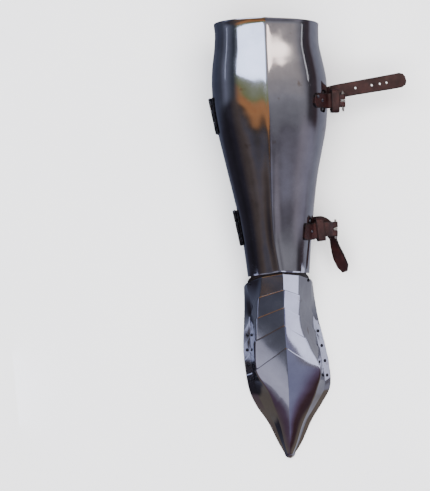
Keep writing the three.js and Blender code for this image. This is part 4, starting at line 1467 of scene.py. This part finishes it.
class GreaveSteel(bpy.types.PropertyGroup):
    leg_thickness: size_property("Leg plate", "Thickness of the leg plates", 1.5)
    foot_thickness: size_property("Foot plate", "Thickness of the foot plates", 1.3)
    hammering: size_property("Hammering", "Height of the planishing ripples", 0.1, precision=5)
    ripple: share_property("Ripple", "Strength of the fine ripples", 0.12)
    roughness_clean: share_property("Clean", "Roughness of clean steel", 0.05)
    roughness_smeared: share_property("Smeared", "Roughness of handled steel", 0.16)
    steel_tint: colour_property("Steel", "Colour of the steel", "#cfd0d8")
    steel_shade: colour_property("Shade", "Darker colour of the steel", "#b9b8c0")
    stain_tint: colour_property("Stain", "Colour of the spots", "#93806f")


class GreaveLeather(bpy.types.PropertyGroup):
    thickness: size_property("Thickness", "Thickness of the hide", 2.6)
    hole_radius: size_property("Hole", "Radius of the tongue holes", 1.7)
    grain: size_property("Grain", "Size of the grain's pebbles", 0.9)
    dye: colour_property("Dye", "Colour of the hide", "#241010")
    dye_dark: colour_property("Dark dye", "Where the dye is thick", "#130909")
    dye_worn: colour_property("Worn dye", "Where the hide is rubbed", "#331815")
    edge: colour_property("Edge", "Burnished edges", "#120b0b")


class GreaveFittings(bpy.types.PropertyGroup):
    leaf_thickness: size_property("Leaf", "Thickness of the hinge leaves", 1.2)
    barrel_radius: size_property("Barrel", "Radius of the hinge knuckles", 2.8)
    pin_radius: size_property("Pin", "Radius of the hinge pins", 1.0)
    rivet_radius: size_property("Rivet", "Radius of the rivet heads", 2.5)
    rivet_rise: size_property("Dome", "Height of the rivet heads", 1.6)


class GreaveStudio(bpy.types.PropertyGroup):
    floor_tint: colour_property("Floor", "Colour of the floor", "#fafafc")
    light: strength_property("Lights", "Strength of the soft lights")
    surroundings: strength_property("Room", "Strength of the surroundings")


class GREAVE_PT_panel(bpy.types.Panel):
    """Lists the steps that make the greave, with their settings."""

    bl_idname = "GREAVE_PT_panel"
    bl_label = "Greave"
    bl_space_type = "VIEW_3D"
    bl_region_type = "UI"
    bl_category = "Greave"

    def draw(self, context):
        scene = context.scene
        for group in (scene.greave_steel, scene.greave_leather, scene.greave_fittings, scene.greave_studio):
            box = self.layout.box()
            for key in group.bl_rna.properties.keys():
                if key not in ("rna_type", "name"):
                    box.prop(group, key)
        for step in STEPS:
            self.layout.operator(step.bl_idname)


STEPS = (
    GREAVE_OT_studio,
    GREAVE_OT_leg_plates,
    GREAVE_OT_foot_plates,
    GREAVE_OT_hinges,
    GREAVE_OT_buckle_tabs,
    GREAVE_OT_long_straps,
    GREAVE_OT_buckles,
    GREAVE_OT_ankle_band,
    GREAVE_OT_rivets,
)
GROUPS = {
    "greave_steel": GreaveSteel,
    "greave_leather": GreaveLeather,
    "greave_fittings": GreaveFittings,
    "greave_studio": GreaveStudio,
}


def register():
    for cls in (*GROUPS.values(), *STEPS, GREAVE_PT_panel):
        bpy.utils.register_class(cls)
    for name, cls in GROUPS.items():
        setattr(bpy.types.Scene, name, bpy.props.PointerProperty(type=cls))


def unregister():
    for name in GROUPS:
        delattr(bpy.types.Scene, name)
    for cls in reversed((*GROUPS.values(), *STEPS, GREAVE_PT_panel)):
        bpy.utils.unregister_class(cls)


def main():
    register()
    for step in STEPS:
        space, name = step.bl_idname.split(".")
        getattr(getattr(bpy.ops, space), name)()


if __name__ == "__main__":
    main()
